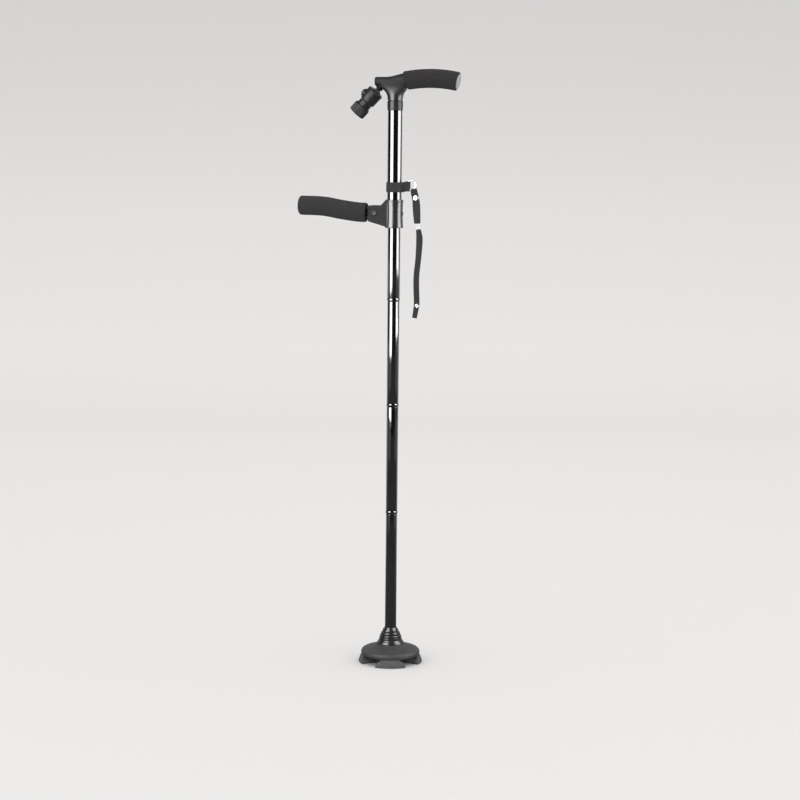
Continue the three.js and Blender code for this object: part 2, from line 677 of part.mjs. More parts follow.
function secondHandle() {
  piece("handle_sleeve", handleSleeve(), satinPlastic);
  piece("sleeve_screw", sleeveScrew(), springSteel);
  piece("second_handle_core", secondCore(), satinPlastic);
  piece("second_grip", secondGrip(), foam);
  const pin = turned([[0, -12.1], [4.2, -12.1], [4.2, -10.8], [PIVOT_R, -10.8], [PIVOT_R, 12.9], [0, 12.9]]);
  piece("pivot_pin", placed(pin, PIVOT, alongY), springSteel);
  const nut = cut(rod(5.4, 10.8, 13.7, 6), rod(PIVOT_R + GAP, 10, 14, SIDES));
  piece("pivot_nut", placed(nut, PIVOT, alongY), springSteel);
}

// ---- wrist strap --------------------------------------------------------------------------------------

function strapBand() {
  const loop = ring(OUTER_R + GAP, 12.3, 722, 737);
  const tab = slab([[11.4, 722.6], [20.4, 723.2], [20.4, 738.6], [11.4, 737.6]], -1.3, 1.3);
  return cut(join(loop, tab), rod(OUTER_R + GAP, 700, 760));
}

function strapShape(middle, half) {
  const left = middle.map(([x, z], i) => [x - half[i], z]);
  const right = middle.map(([x, z], i) => [x + half[i], z]).reverse();
  return slab([...left, ...right], -STRAP_THICK / 2, STRAP_THICK / 2);
}

function rivet(x, z, radius) {
  const profile = [[0, -2.7], [radius - 1, -2.7], [radius, -1.7], [radius, -1.5], [0, -1.5]];
  return placed(turned(profile, FEW), new THREE.Vector3(x, 0, z), alongY);
}

function strap() {
  piece("strap_band", strapBand(), webbing);
  piece("strap_d_ring", dRing(), brightSteel);
  const upper = [[30.5, 724], [32, 719], [33.6, 712], [34.4, 702], [35, 690], [35.8, 678]];
  piece("strap_upper", strapShape(upper, [5, 5.4, 5.6, 5.6, 5.4, 4.6]), webbing);
  piece("rivet_top", rivet(33.6, 713.5, 4.4), brightSteel);
  piece("strap_link", strapLink(), brightSteel);
  const lower = [
    [38.6, 663], [39.7, 652], [39, 636], [37.6, 618], [35.2, 596], [35.6, 574], [36.4, 556], [35, 545],
    [33, 533.5],
  ];
  piece("strap_lower", strapShape(lower, [3.9, 4.9, 4.5, 4.3, 4.4, 4.3, 4.2, 3.9, 3.6]), webbing);
  piece("rivet_bottom", rivet(37, 552, 3.2), brightSteel);
}

// D-ring: an upright bar that the band's tab folds over, and a bow that the strap hangs from
function dRing() {
  const plate = slab([[21.4, 724.8], [31.4, 725.6], [33.4, 731], [32, 737.6], [28.6, 740], [21.4, 739.4]],
    -1.1, 1.1);
  const eye = slab([[23.6, 727.6], [30.2, 728], [31, 731.6], [30, 736], [23.6, 737.2]], -3, 3);
  return cut(plate, eye);
}

function strapLink() {
  const plate = slab([[33, 677.6], [38.4, 677.6], [41, 663.6], [35.6, 663.6]], -0.9, 0.9);
  const eye = slab([[34.9, 675.4], [37, 675.4], [38.8, 665.8], [36.9, 665.8]], -2, 2);
  return cut(plate, eye);
}

base();
shaft();
upperPart();
torch();
secondHandle();
strap();

export default root;
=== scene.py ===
"""A folding walking cane with two foam grips, a torch, a wrist strap and a swivelling base, built around its
CAD frame."""

import json
import math
from contextlib import contextmanager

import bmesh
import bpy
import numpy as np
from mathutils import Matrix, Vector


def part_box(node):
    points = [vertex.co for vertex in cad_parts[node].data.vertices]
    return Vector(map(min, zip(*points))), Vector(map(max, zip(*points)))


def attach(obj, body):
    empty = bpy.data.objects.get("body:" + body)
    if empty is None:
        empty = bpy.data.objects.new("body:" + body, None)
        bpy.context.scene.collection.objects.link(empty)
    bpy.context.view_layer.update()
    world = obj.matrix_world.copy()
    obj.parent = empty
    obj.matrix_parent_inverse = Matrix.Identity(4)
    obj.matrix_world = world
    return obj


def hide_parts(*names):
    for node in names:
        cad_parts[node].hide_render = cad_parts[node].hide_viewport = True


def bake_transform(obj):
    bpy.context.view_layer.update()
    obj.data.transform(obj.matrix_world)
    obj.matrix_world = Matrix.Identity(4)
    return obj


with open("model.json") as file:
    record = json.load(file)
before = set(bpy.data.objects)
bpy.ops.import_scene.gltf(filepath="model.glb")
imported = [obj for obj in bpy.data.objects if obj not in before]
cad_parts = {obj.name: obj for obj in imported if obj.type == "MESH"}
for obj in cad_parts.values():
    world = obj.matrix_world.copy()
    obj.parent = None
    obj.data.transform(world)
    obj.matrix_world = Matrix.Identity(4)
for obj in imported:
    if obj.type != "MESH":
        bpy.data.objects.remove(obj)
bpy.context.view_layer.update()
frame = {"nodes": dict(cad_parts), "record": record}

MM = 0.001
FINE = 96  # facets round a shaft-sized piece
AXIS_X, AXIS_Y, AXIS_Z = Vector((1, 0, 0)), Vector((0, 1, 0)), Vector((0, 0, 1))


def in_scene(name, data):
    made = bpy.data.objects.new(name, data)
    bpy.context.scene.collection.objects.link(made)
    return made


# ---- node materials ----

class Paint:
    """A node material: one Principled shader, with helpers that add texture nodes in front of it."""

    def __init__(self, name, colour, roughness, metallic=0.0, **settings):
        self.material = bpy.data.materials.new(name)
        self.material.use_nodes = True
        self.nodes = self.material.node_tree.nodes
        self.links = self.material.node_tree.links
        self.shader = self.nodes["Principled BSDF"]
        self.colour, self.roughness = colour, roughness
        self.shader.inputs["Base Color"].default_value = (*colour, 1)
        self.shader.inputs["Roughness"].default_value = roughness
        self.shader.inputs["Metallic"].default_value = metallic
        for key, value in settings.items():
            self.shader.inputs[key.replace("_", " ")].default_value = value
        self.place = self.nodes.new("ShaderNodeTexCoord")
        self.height = None

    def node(self, kind, **inputs):
        made = self.nodes.new(kind)
        for key, value in inputs.items():
            made.inputs[key].default_value = value
        return made

    def feed(self, socket, value):
        """Gives an input a number or another node's output."""
        if isinstance(value, bpy.types.NodeSocket):
            self.links.new(value, socket)
        else:
            socket.default_value = value

    def coordinates(self, stretch=None, uv=False):
        socket = self.place.outputs["UV" if uv else "Object"]
        if stretch is None:
            return socket
        mapping = self.node("ShaderNodeMapping", Scale=stretch)
        self.links.new(socket, mapping.inputs["Vector"])
        return mapping.outputs["Vector"]

    def noise(self, scale, detail=3.0, stretch=None):
        made = self.node("ShaderNodeTexNoise", Scale=scale, Detail=detail, Roughness=0.55)
        self.links.new(self.coordinates(stretch), made.inputs["Vector"])
        return made.outputs["Fac"]

    def cells(self, scale):
        made = self.node("ShaderNodeTexVoronoi", Scale=scale)
        self.links.new(self.coordinates(), made.inputs["Vector"])
        return made.outputs["Distance"]

    def ranged(self, source, low, high, start=0.3, stop=0.7):
        """The source's span from start to stop becomes low to high."""
        made = self.node("ShaderNodeMapRange")
        for key, value in (("From Min", start), ("From Max", stop), ("To Min", low), ("To Max", high),
                           ("Value", source)):
            self.feed(made.inputs[key], value)
        return made.outputs["Result"]

    def calculated(self, operation, *values):
        made = self.node("ShaderNodeMath")
        made.operation = operation
        for socket, value in zip(made.inputs, values):
            self.feed(socket, value)
        return made.outputs[0]

    def axes(self, uv=False):
        split = self.node("ShaderNodeSeparateXYZ")
        self.links.new(self.coordinates(uv=uv), split.inputs["Vector"])
        return split.outputs

    def ramp(self, source, *stops):
        made = self.node("ShaderNodeValToRGB")
        elements = made.color_ramp.elements
        while len(elements) < len(stops):
            elements.new(0.5)
        for element, (position, colour) in reversed(list(zip(elements, stops))):
            element.position = position
            element.color = (*colour, 1)
        self.links.new(source, made.inputs["Fac"])
        return made.outputs["Color"]

    def mottled(self, scale, spread, start=0.3, stop=0.7, stretch=None):
        """Colour that wanders by a share of itself."""
        low = tuple(max(0.0, c * (1 - spread)) for c in self.colour)
        high = tuple(min(1.0, c * (1 + spread)) for c in self.colour)
        colour = self.ramp(self.noise(scale, stretch=stretch), (start, low), (stop, high))
        self.links.new(colour, self.shader.inputs["Base Color"])
        return self

    def worn(self, scale, spread, stretch=None):
        """Roughness that wanders up and down by an amount."""
        source = self.noise(scale, 4.0, stretch)
        result = self.ranged(source, max(0.02, self.roughness - spread), self.roughness + spread)
        self.links.new(result, self.shader.inputs["Roughness"])
        return self

    def bump(self, source, distance, strength=1.0):
        made = self.node("ShaderNodeBump", Strength=strength, Distance=distance)
        self.links.new(source, made.inputs["Height"])
        if self.height is not None:
            self.links.new(self.height, made.inputs["Normal"])
        self.height = made.outputs["Normal"]
        self.links.new(self.height, self.shader.inputs["Normal"])
        return self


# ---- camera, light and floor ----

CAMERA_TURN = 15.0  # the camera stands this far round from -Y towards +X, degrees
CAMERA_AWAY = 2.95
CAMERA_HEIGHT = 0.79
CAMERA_TILT = 7.39
CAMERA_ROLL = 0.54
CAMERA_LENS = 87.9
CAMERA_PAN = -0.22


def make_camera():
    data = bpy.data.cameras.new("camera")
    data.lens = CAMERA_LENS
    data.sensor_width = 36
    data.clip_start = 0.05
    data.clip_end = 50
    camera = in_scene("camera", data)
    turn = math.radians(CAMERA_TURN)
    camera.location = (CAMERA_AWAY * math.sin(turn), -CAMERA_AWAY * math.cos(turn), CAMERA_HEIGHT)
    level = Matrix.Rotation(turn + math.radians(CAMERA_PAN), 4, "Z")
    tilt = Matrix.Rotation(math.radians(90 - CAMERA_TILT), 4, "X")
    roll = Matrix.Rotation(math.radians(CAMERA_ROLL), 4, "Z")
    camera.rotation_mode = "QUATERNION"
    camera.rotation_quaternion = (level @ tilt @ roll).to_quaternion()
    bpy.context.scene.camera = camera


def area_light(name, centre, target, size, radiance, colour, diffuse):
    """A rectangular light. A diffuse one lights surfaces, the other kind only shows as a reflection."""
    data = bpy.data.lights.new(name, "AREA")
    data.shape = "RECTANGLE"
    data.size, data.size_y = size
    data.energy = radiance * math.pi * size[0] * size[1]
    data.color = colour
    light = in_scene(name, data)
    light.location = centre
    light.rotation_mode = "QUATERNION"
    light.rotation_quaternion = (Vector(target) - Vector(centre)).to_track_quat("-Z", "Y")
    light.visible_diffuse = diffuse
    light.visible_glossy = not diffuse
    light.visible_camera = False


def round_camera(azimuth, distance, height):
    """A point at an azimuth from the camera's own direction, positive to the camera's right."""
    turn = math.radians(CAMERA_TURN + azimuth)
    return Vector((distance * math.sin(turn), -distance * math.cos(turn), height))


def make_lights():
    # tall soft boxes on both sides draw the two bright streaks along the enamel
    for name, azimuth, height, size, radiance in (
            ("soft_left", -47, 1.20, (1.05, 1.75), 11.0), ("soft_right", 75, 1.30, (1.10, 1.75), 9.0)):
        area_light(name, round_camera(azimuth, 1.25, height), (0, 0, height), size, radiance, (1, 1, 1), False)
    # a weak tall card beside each keeps the lower shaft from going black
    for name, azimuth, radiance in (("card_left", -56, 0.35), ("card_right", 70, 0.3)):
        area_light(name, round_camera(azimuth, 1.9, 0.55), (0, 0, 0.5), (1.3, 1.5), radiance, (1, 1, 1), False)
    area_light("fill_left", round_camera(-55, 2.4, 1.9), (0, 0, 0.4), (1.6, 1.6), 0.5, (0.94, 0.96, 1), True)
    area_light("fill_right", round_camera(60, 2.4, 1.9), (0, 0, 0.4), (1.6, 1.6), 0.45, (1, 0.97, 0.94), True)
    area_light("overhead", (0.1, 0.2, 2.9), (0, 0.1, 0), (2.4, 2.4), 0.5, (1, 1, 1), True)


def make_world():
    world = bpy.data.worlds.new("studio")
    bpy.context.scene.world = world
    world.use_nodes = True
    nodes, links = world.node_tree.nodes, world.node_tree.links
    background = nodes["Background"]
    background.inputs["Color"].default_value = (1.0, 0.985, 0.975, 1)
    # as pale to the eye as the floor is, so that a view past the floor's edge shows no horizon
    strength = nodes.new("ShaderNodeMapRange")
    strength.inputs["To Min"].default_value = 0.97
    strength.inputs["To Max"].default_value = 0.77
    links.new(nodes.new("ShaderNodeLightPath").outputs["Is Camera Ray"], strength.inputs["Value"])
    links.new(strength.outputs["Result"], background.inputs["Strength"])
    world.cycles_visibility.glossy = False


def make_floor():
    """A seamless sweep: flat floor that curves up into a backdrop behind the object."""
    bend_start, bend = 2.6, 1.6
    profile = [(-4.0, 0.0)]
    for i in range(17):
        angle = math.radians(90 * i / 16)
        profile.append((bend_start + bend * math.sin(angle), bend - bend * math.cos(angle)))
    profile.append((bend_start + bend, 6.0))
    turn = math.radians(CAMERA_TURN)
    away = Vector((-math.sin(turn), math.cos(turn), 0))
    side = Vector((math.cos(turn), math.sin(turn), 0))
    mesh = bpy.data.meshes.new("floor")
    points = [away * d + side * s + AXIS_Z * z for d, z in profile for s in (-6, 6)]
    faces = [(2 * i, 2 * i + 1, 2 * i + 3, 2 * i + 2) for i in range(len(profile) - 1)]
    mesh.from_pydata(points, [], faces)
    mesh.shade_smooth()
    floor = in_scene("floor", mesh)

    paint = Paint("floor_paint", (0.8, 0.8, 0.8), 0.9, Specular_IOR_Level=0.1)
    product = paint.node("ShaderNodeVectorMath")
    product.operation = "DOT_PRODUCT"
    product.inputs[1].default_value = away
    paint.links.new(paint.node("ShaderNodeNewGeometry").outputs["Position"], product.inputs[0])
    depth = product.outputs["Value"]
    # painted light and shade: to the eye it gets a little paler towards the bend, and darker up the backdrop
    levels = ((0.0, 0.80), (0.5, 0.865), (0.78, 0.86), (0.91, 0.80), (1.0, 0.70))
    painted_falloff = paint.ramp(paint.ranged(depth, 0, 1, 0, bend_start + bend), *[(at, (v, v, v)) for at, v in levels])
    # painted reflection: in the cane's reflections only the part behind the cane is pale, and the floor in
    # front is painted dark to stand in for a dark room
    painted_reflection_tone = paint.ranged(depth, 0.13, 0.8, 0.1, 0.8)
    glossy = paint.node("ShaderNodeLightPath").outputs["Is Glossy Ray"]
    paint.links.new(paint.ranged(glossy, painted_falloff, painted_reflection_tone, 0, 1), paint.shader.inputs["Base Color"])
    mesh.materials.append(paint.material)


make_camera()
make_lights()
make_world()
make_floor()
bpy.context.scene.view_settings.view_transform = "Standard"


# ---- materials ----

def surface(name, colour, roughness, mottle, wear, grain, metallic=0.0, **settings):
    """Colour and roughness that wander, each by (scale, spread), over a grain of (scale, height, strength)."""
    paint = Paint(name, colour, roughness, metallic, **settings)
    paint.mottled(*mottle).worn(*wear)
    scale, height, strength = grain
    return paint.bump(paint.noise(scale, 2.0), height, strength).material


def satin_plastic(name="satin_plastic", colour=(0.016, 0.0155, 0.0165), roughness=0.36, sheen=0.3):
    return surface(name, colour, roughness, (40, 0.18), (120, 0.07), (1500, 0.00003, 0.5),
                   Specular_IOR_Level=sheen)


def bright_metal(name="bright_metal", level=0.62, roughness=0.25):
    return surface(name, (level, level, level + 0.01), roughness, (200, 0.06), (300, 0.06),
                   (900, 0.00001, 0.3), 1.0)


def foam(name="foam", colour=(0.030, 0.0275, 0.0285)):
    paint = Paint(name, colour, 0.95, Specular_IOR_Level=0.15)
    paint.mottled(700, 0.35, 0.35, 0.65)
    paint.bump(paint.cells(900), 0.00035, 0.7)
    return paint.bump(paint.noise(220, 3.0), 0.0004, 0.35).material


def base_rubber():
    paint = Paint("base_rubber", (0.105, 0.103, 0.105), 0.62, Specular_IOR_Level=0.2)
    paint.mottled(90, 0.25).worn(60, 0.1)
    return paint.bump(paint.noise(1100, 3.0), 0.00006, 0.6).material


def webbing():
    """Ribbed nylon weave: U runs across the strap and V along it, both in millimetres."""
    paint = Paint("webbing", (0.017, 0.016, 0.017), 0.8, Specular_IOR_Level=0.3)
    axes = paint.axes(uv=True)

    def wave(axis, per_mm):
        return paint.calculated("SINE", paint.calculated("MULTIPLY", axes[axis], per_mm * 2 * math.pi))

    weave = paint.calculated("MULTIPLY", wave("X", 0.9), wave("Y", 1.1))
    colour = paint.ramp(paint.ranged(weave, 0, 1, -1, 1),
                        (0.2, (0.009, 0.009, 0.0095)), (0.8, (0.030, 0.029, 0.030)))
    paint.links.new(colour, paint.shader.inputs["Base Color"])
    paint.bump(weave, 0.00012, 0.8)
    return paint.bump(paint.noise(2500, 2.0), 0.00005, 0.5).material


def drawn_tube():
    paint = Paint("drawn_tube", (0.45, 0.45, 0.46), 0.35, 1.0)
    paint.worn(80, 0.12, stretch=(0.05, 8, 8))
    return paint.bump(paint.noise(400, 2.0, stretch=(0.05, 6, 6)), 0.00001, 0.4).material


def part_polished(name, colour, axis, span, *levels):
    """Moulded plastic that goes over a span of one axis, in metres, from a matt face to a polished one.
    Each level is (input, its value on the matt side, its value on the polished side)."""
    paint = Paint(name, colour, 0.4)
    paint.mottled(40, 0.18)
    along = paint.axes()[axis]
    for key, matt, polished in levels:
        paint.links.new(paint.ranged(along, matt, polished, *span), paint.shader.inputs[key])
    return paint.bump(paint.noise(1500, 2.0), 0.00003, 0.5).material


def led_board():
    paint = Paint("led_board", (0.015, 0.10, 0.035), 0.4)
    paint.mottled(400, 0.3).worn(200, 0.08)
    return paint.bump(paint.cells(500), 0.00003, 0.4).material


def lens_glass():
    paint = Paint("lens_glass", (0.92, 0.95, 0.97), 0.06, Transmission_Weight=1.0, IOR=1.46)
    paint.worn(200, 0.03)
    return paint.material


def elastic():
    paint = Paint("elastic", (0.05, 0.05, 0.05), 0.9, Sheen_Weight=0.2)
    paint.mottled(900, 0.5, stretch=(1, 1, 0.5))
    return paint.bump(paint.cells(1400), 0.0002, 0.6).material


SLOTS = {
    "gloss_tube": surface("gloss_enamel", (0.006, 0.006, 0.0065), 0.09, (60, 0.4), (90, 0.035),
                          (160, 0.00001, 0.25), Specular_IOR_Level=0.9, Coat_Weight=1.0, Coat_Roughness=0.04),
    "satin_plastic": satin_plastic(),
    "torch_plastic": satin_plastic("torch_plastic", (0.017, 0.0165, 0.017), 0.45, 0.22),
    "cap_plastic": surface("cap_plastic", (0.36, 0.36, 0.375), 0.36, (60, 0.08), (120, 0.07),
                           (1200, 0.00002, 0.4)),
    "nylon": surface("nylon", (0.62, 0.60, 0.55), 0.45, (60, 0.08), (90, 0.08), (900, 0.00002, 0.4),
                     Subsurface_Weight=0.1),
    "boot_rubber": surface("boot_rubber", (0.026, 0.025, 0.026), 0.24, (120, 0.3), (80, 0.06),
                           (600, 0.00002, 0.3)),
    "base_rubber": base_rubber(),
    "foam": foam(),
    "webbing": webbing(),
    "elastic": elastic(),
    "steel": surface("steel", (0.11, 0.11, 0.115), 0.36, (300, 0.15), (500, 0.1), (2000, 0.00001, 0.4), 1.0),
    "bright_metal": bright_metal(),
    "core_metal": drawn_tube(),
    "led_board": led_board(),
    "lens": lens_glass(),
}
node_slot = {s["node"]: s["material_slot"] for s in frame["record"]["subparts"]}
node_body = {n: body for body, members in frame["record"]["behaviour"]["bodies"].items() for n in members}
for node, cad in frame["nodes"].items():
    cad.data.materials.clear()
    cad.data.materials.append(SLOTS[node_slot[node]])


# ---- mesh helpers ----

@contextmanager
def edited(obj):
    """The object's mesh as a bmesh, written back afterwards."""
    work = bmesh.new()
    work.from_mesh(obj.data)
    yield work
    work.to_mesh(obj.data)
    work.free()


def mesh_object(name, points, faces):
    """A closed mesh from points in millimetres."""
    mesh = bpy.data.meshes.new(name)
    mesh.from_pydata([Vector(p) * MM for p in points], [], faces)
    mesh.validate()
    made = in_scene(name, mesh)
    with edited(made) as work:
        bmesh.ops.recalc_face_normals(work, faces=work.faces)
    return made


def smooth(obj, angle=35):
    """Smooth shading, kept sharp where two faces meet at more than this angle."""
    obj.data.shade_smooth()
    limit = math.radians(angle)
    with edited(obj) as work:
        for edge in work.edges:
            if len(edge.link_faces) == 2:
                edge.smooth = edge.calc_face_angle(0) < limit


def rounded(profile, radius=0.4, steps=4):
    """A closed outline with each corner off the axis turned into an arc. A point may give its own radius
    third."""
    points = []
    count = len(profile)
    for i, corner in enumerate(profile):
        here = Vector(corner[:2])
        wanted = corner[2] if len(corner) > 2 else radius
        before = Vector(profile[i - 1][:2])
        after = Vector(profile[(i + 1) % count][:2])
        a, b = before - here, after - here
        if wanted <= 0 or abs(here.x) < 1e-9 or a.length < 1e-6 or b.length < 1e-6:
            points.append(tuple(here))
            continue
        angle = a.angle(b)
        if angle > math.radians(176):
            points.append(tuple(here))
            continue
        reach = min(wanted / math.tan(angle / 2), 0.45 * a.length, 0.45 * b.length)
        start, stop = here + a.normalized() * reach, here + b.normalized() * reach
        for k in range(steps + 1):
            t = k / steps
            points.append(tuple(start * (1 - t) ** 2 + here * (2 * t * (1 - t)) + stop * t ** 2))
    return points


def turned(name, profile, sides=FINE):
    """A closed (radius, height) outline in millimetres, turned about Z. Points on the axis become single
    poles."""
    points, faces, rings = [], [], []
    for r, z in profile:
        if abs(r) < 1e-6:
            rings.append([len(points)] * sides)
            points.append((0, 0, z))
            continue
        rings.append(list(range(len(points), len(points) + sides)))
        for i in range(sides):
            angle = 2 * math.pi * i / sides
            points.append((r * math.cos(angle), r * math.sin(angle), z))
    for a, b in zip(rings, rings[1:] + rings[:1]):
        if a[0] == a[1] and b[0] == b[1]:
            continue
        for i in range(sides):
            j = (i + 1) % sides
            corners = list(dict.fromkeys((a[i], a[j], b[j], b[i])))
            if len(corners) > 2:
                faces.append(corners)
    return mesh_object(name, points, faces)


def circle(centre, side, up, radius, count):
    """Points round a centre, in the plane of two directions."""
    turns = [2 * math.pi * k / count for k in range(count)]
    return [centre + side * (radius * math.cos(a)) + up * (radius * math.sin(a)) for a in turns]


def placed(obj, start, direction):
    """Moves a mesh made along +Z so that it starts at a point, in metres, and runs along a direction."""
    turn = AXIS_Z.rotation_difference(Vector(direction)).to_matrix().to_4x4()
    obj.data.transform(Matrix.Translation(start) @ turn)
    return obj


def block(name, low, high):
    corners = [(x, y, z) for x in (low[0], high[0]) for y in (low[1], high[1]) for z in (low[2], high[2])]
    faces = [(0, 1, 3, 2), (4, 6, 7, 5), (0, 4, 5, 1), (2, 3, 7, 6), (0, 2, 6, 4), (1, 5, 7, 3)]
    return mesh_object(name, corners, faces)


def slab(name, outline, low, high):
    """An outline in the XZ plane pulled along Y, in millimetres."""
    count = len(outline)
    points = [(x, y, z) for y in (low, high) for x, z in outline]
    faces = [tuple(range(count)), tuple(range(2 * count - 1, count - 1, -1))]
    faces += [(i, (i + 1) % count, count + (i + 1) % count, count + i) for i in range(count)]
    return mesh_object(name, points, faces)


def arc(x, z, radius, start, stop, steps):
    angles = [math.radians(start + (stop - start) * i / steps) for i in range(steps + 1)]
    return [(x + radius * math.cos(a), z + radius * math.sin(a)) for a in angles]


def evaluated(obj):
    """Applies every modifier to the object's own mesh."""
    bpy.context.view_layer.update()
    graph = bpy.context.evaluated_depsgraph_get()
    mesh = bpy.data.meshes.new_from_object(obj.evaluated_get(graph))
    obj.modifiers.clear()
    obj.data = mesh
    return obj


def combine(obj, others, operation):
    """Joins solids to an object or cuts them out of it, and removes them."""
    for other in others:
        modifier = obj.modifiers.new("cut", "BOOLEAN")
        modifier.operation = operation
        modifier.solver = "EXACT"
        modifier.object = other
    evaluated(obj)
    for other in others:
        bpy.data.objects.remove(other)
    return obj


def cut(obj, *tools):
    return combine(obj, tools, "DIFFERENCE")


def join(obj, *others):
    combine(obj, others, "UNION")


def gathered(obj, other):
    """Moves another object's mesh into this one's, as it is."""
    with edited(obj) as work:
        work.from_mesh(other.data)
    bpy.data.objects.remove(other)


def fused(name, parts, voxel, passes):
    """Melts several overlapping solids into one skin with soft fillets where they meet."""
    obj = parts[0]
    for part in parts[1:]:
        gathered(obj, part)
    obj.name = name
    remesh = obj.modifiers.new("skin", "REMESH")
    remesh.mode = "VOXEL"
    remesh.voxel_size = voxel * MM
    soften = obj.modifiers.new("soften", "SMOOTH")
    soften.factor = 0.5
    soften.iterations = passes
    evaluated(obj)
    obj.data.shade_smooth()
    return obj


def tangent_at(line, i):
    return (line[min(i + 1, len(line) - 1)] - line[max(i - 1, 0)]).normalized()


def swept(name, line, radius, sides=64):
    """A round bar along a line of points in millimetres."""
    line = [Vector(p) for p in line]
    return loft(name, [circle(p, AXIS_Y, tangent_at(line, i).cross(AXIS_Y).normalized(), radius, sides)
                       for i, p in enumerate(line)])


def finished(obj, *nodes, slot=None, body=None, angle=35, paint=None):
    """Puts a piece in place of CAD nodes: shading, material, body and what it replaces."""
    if angle:
        smooth(obj, angle)
    slot = slot or node_slot[nodes[0]]
    obj.data.materials.clear()
    obj.data.materials.append(paint or SLOTS[slot])
    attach(obj, body or node_body[nodes[0]])
    if nodes:
        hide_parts(*nodes)


def blended(obj, node, body_a, angle=35):
    """A soft piece in place of a node: it takes the node's material, is then taken off body_a again and keeps
    its world place in its mesh.
    """
    finished(obj, slot=node_slot[node], body=body_a, angle=angle)
    obj.parent = None
    obj.matrix_world = Matrix.Identity(4)
    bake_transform(obj)
    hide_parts(node)


def size_of(node):
    low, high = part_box(node)
    return low / MM, high / MM


def loft(name, rings, closed=False):
    """Skins a list of rings that hold the same number of points. Open lofts get a flat cap at each end."""
    points = [p for ring in rings for p in ring]
    count = len(rings[0])
    last = len(rings) if closed else len(rings) - 1
    faces = []
    for i in range(last):
        a, b = i * count, ((i + 1) % len(rings)) * count
        faces += [(a + k, a + (k + 1) % count, b + (k + 1) % count, b + k) for k in range(count)]
    if not closed:
        faces += [tuple(range(count)), tuple(range((len(rings) - 1) * count, len(rings) * count))]
    return mesh_object(name, points, faces)


def through(points, steps):
    """A Catmull-Rom line through points of any dimension, with a number of steps to each span."""
    known = [np.array(p, float) for p in points]
    known = [2 * known[0] - known[1]] + known + [2 * known[-1] - known[-2]]
    line = []
    for p0, p1, p2, p3 in zip(known, known[1:], known[2:], known[3:]):
        for i in range(steps):
            t = i / steps
            line.append(0.5 * (2 * p1 + (p2 - p0) * t + (2 * p0 - 5 * p1 + 4 * p2 - p3) * t * t
                               + (3 * p1 - p0 - 3 * p2 + p3) * t ** 3))
    line.append(known[-2])
    return line


def oval(half_a, half_b, count, power):
    """Points of a superellipse: power 2 is an ellipse, higher is boxier."""
    points = []
    for i in range(count):
        angle = 2 * math.pi * (i + 0.5) / count
        c, s = math.cos(angle), math.sin(angle)
        points.append((half_a * math.copysign(abs(c) ** (2 / power), c),
                       half_b * math.copysign(abs(s) ** (2 / power), s)))
    return points


def bevelled(obj, width, segments=3, angle=40):
    modifier = obj.modifiers.new("edge", "BEVEL")
    modifier.width = width * MM
    modifier.segments = segments
    modifier.angle_limit = math.radians(angle)
    return evaluated(obj)


def drill(radius, start, direction, length, sides=48):
    """A cutting rod from a point in millimetres along a direction."""
    rod = turned("drill", [(0, 0), (radius, 0), (radius, length), (0, length)], sides)
    return placed(rod, Vector(start) * MM, direction)


def wire(name, path, radius):
    """A closed loop of round wire through points in millimetres."""
    curve = bpy.data.curves.new(name, "CURVE")
    curve.dimensions = "3D"
    curve.bevel_depth = radius * MM
    curve.bevel_resolution = 6
    curve.resolution_u = 10
    spline = curve.splines.new("BEZIER")
    spline.bezier_points.add(len(path) - 1)
    spline.use_cyclic_u = True
    for point, place in zip(spline.bezier_points, path):
        point.co = Vector(place) * MM
        point.handle_left_type = point.handle_right_type = "AUTO"
    holder = in_scene(name + "_line", curve)
    bpy.context.view_layer.update()
    mesh = bpy.data.meshes.new_from_object(holder.evaluated_get(bpy.context.evaluated_depsgraph_get()))
    mesh.shade_smooth()
    bpy.data.objects.remove(holder)
    return in_scene(name, mesh)


def ribbon(name, path, across, halves, thick, closed, power):
    """A flat strap: each station has a place, a width direction and a half width. U and V are millimetres."""
    path = [Vector(p) for p in path]
    count = len(path)
    rings, texture = [], []
    along = 0.0
    for i, place in enumerate(path):
        before = path[i - 1] if closed or i else path[0]
        after = path[(i + 1) % count] if closed or i < count - 1 else path[-1]
        tangent = (after - before).normalized()
        wide = Vector(across[i]).normalized()
        out = tangent.cross(wide).normalized()
        if i:
            along += (place - path[i - 1]).length
        section = oval(halves[i], thick, 28, power)
        rings.append([place + wide * a + out * b for a, b in section])
        texture += [(a, along) for a, b in section]
    made = loft(name, rings, closed)
    layer = made.data.uv_layers.new(name="weave")
    for loop in made.data.loops:
        layer.data[loop.index].uv = texture[loop.vertex_index]
    return made


# ---- folding shaft ----

WALL, OUTER_WALL = 1.2, 1.0
SECTION_R = (9.6, 9.1, 8.95, 8.75)  # the inner tube and the three sections below it
CORD_R = 1.6
HOLE_R = 3.4
BUTTON_Z = 767  # the height button at rest
HOLE_PITCH = 12.5
HOLE_STEPS = range(-2, 5)
SCREW_Z = 834  # the screw that holds the head


def tube(node, wall):
    low, high = size_of(node)
    r = high.x
    outline = [(r - wall, low.z), (r, low.z), (r, high.z), (r - wall, high.z)]
    return turned(node + "_drawn", rounded(outline, 0.3))


def build_tubes():
    for node in ("tube_4", "tube_3", "tube_2"):
        finished(tube(node, WALL), node)
    inner = tube("inner_tube", WALL)
    cut(inner, drill(HOLE_R, (0, 4, BUTTON_Z), AXIS_Y, 10))
    finished(inner, "inner_tube")
    outer = tube("outer_tube", OUTER_WALL)
    holes = [drill(HOLE_R, (0, 4, BUTTON_Z + HOLE_PITCH * i), AXIS_Y, 10) for i in HOLE_STEPS]
    cut(outer, *holes, drill(1.9, (0, 4, SCREW_Z), AXIS_Y, 10))
    finished(outer, "outer_tube")


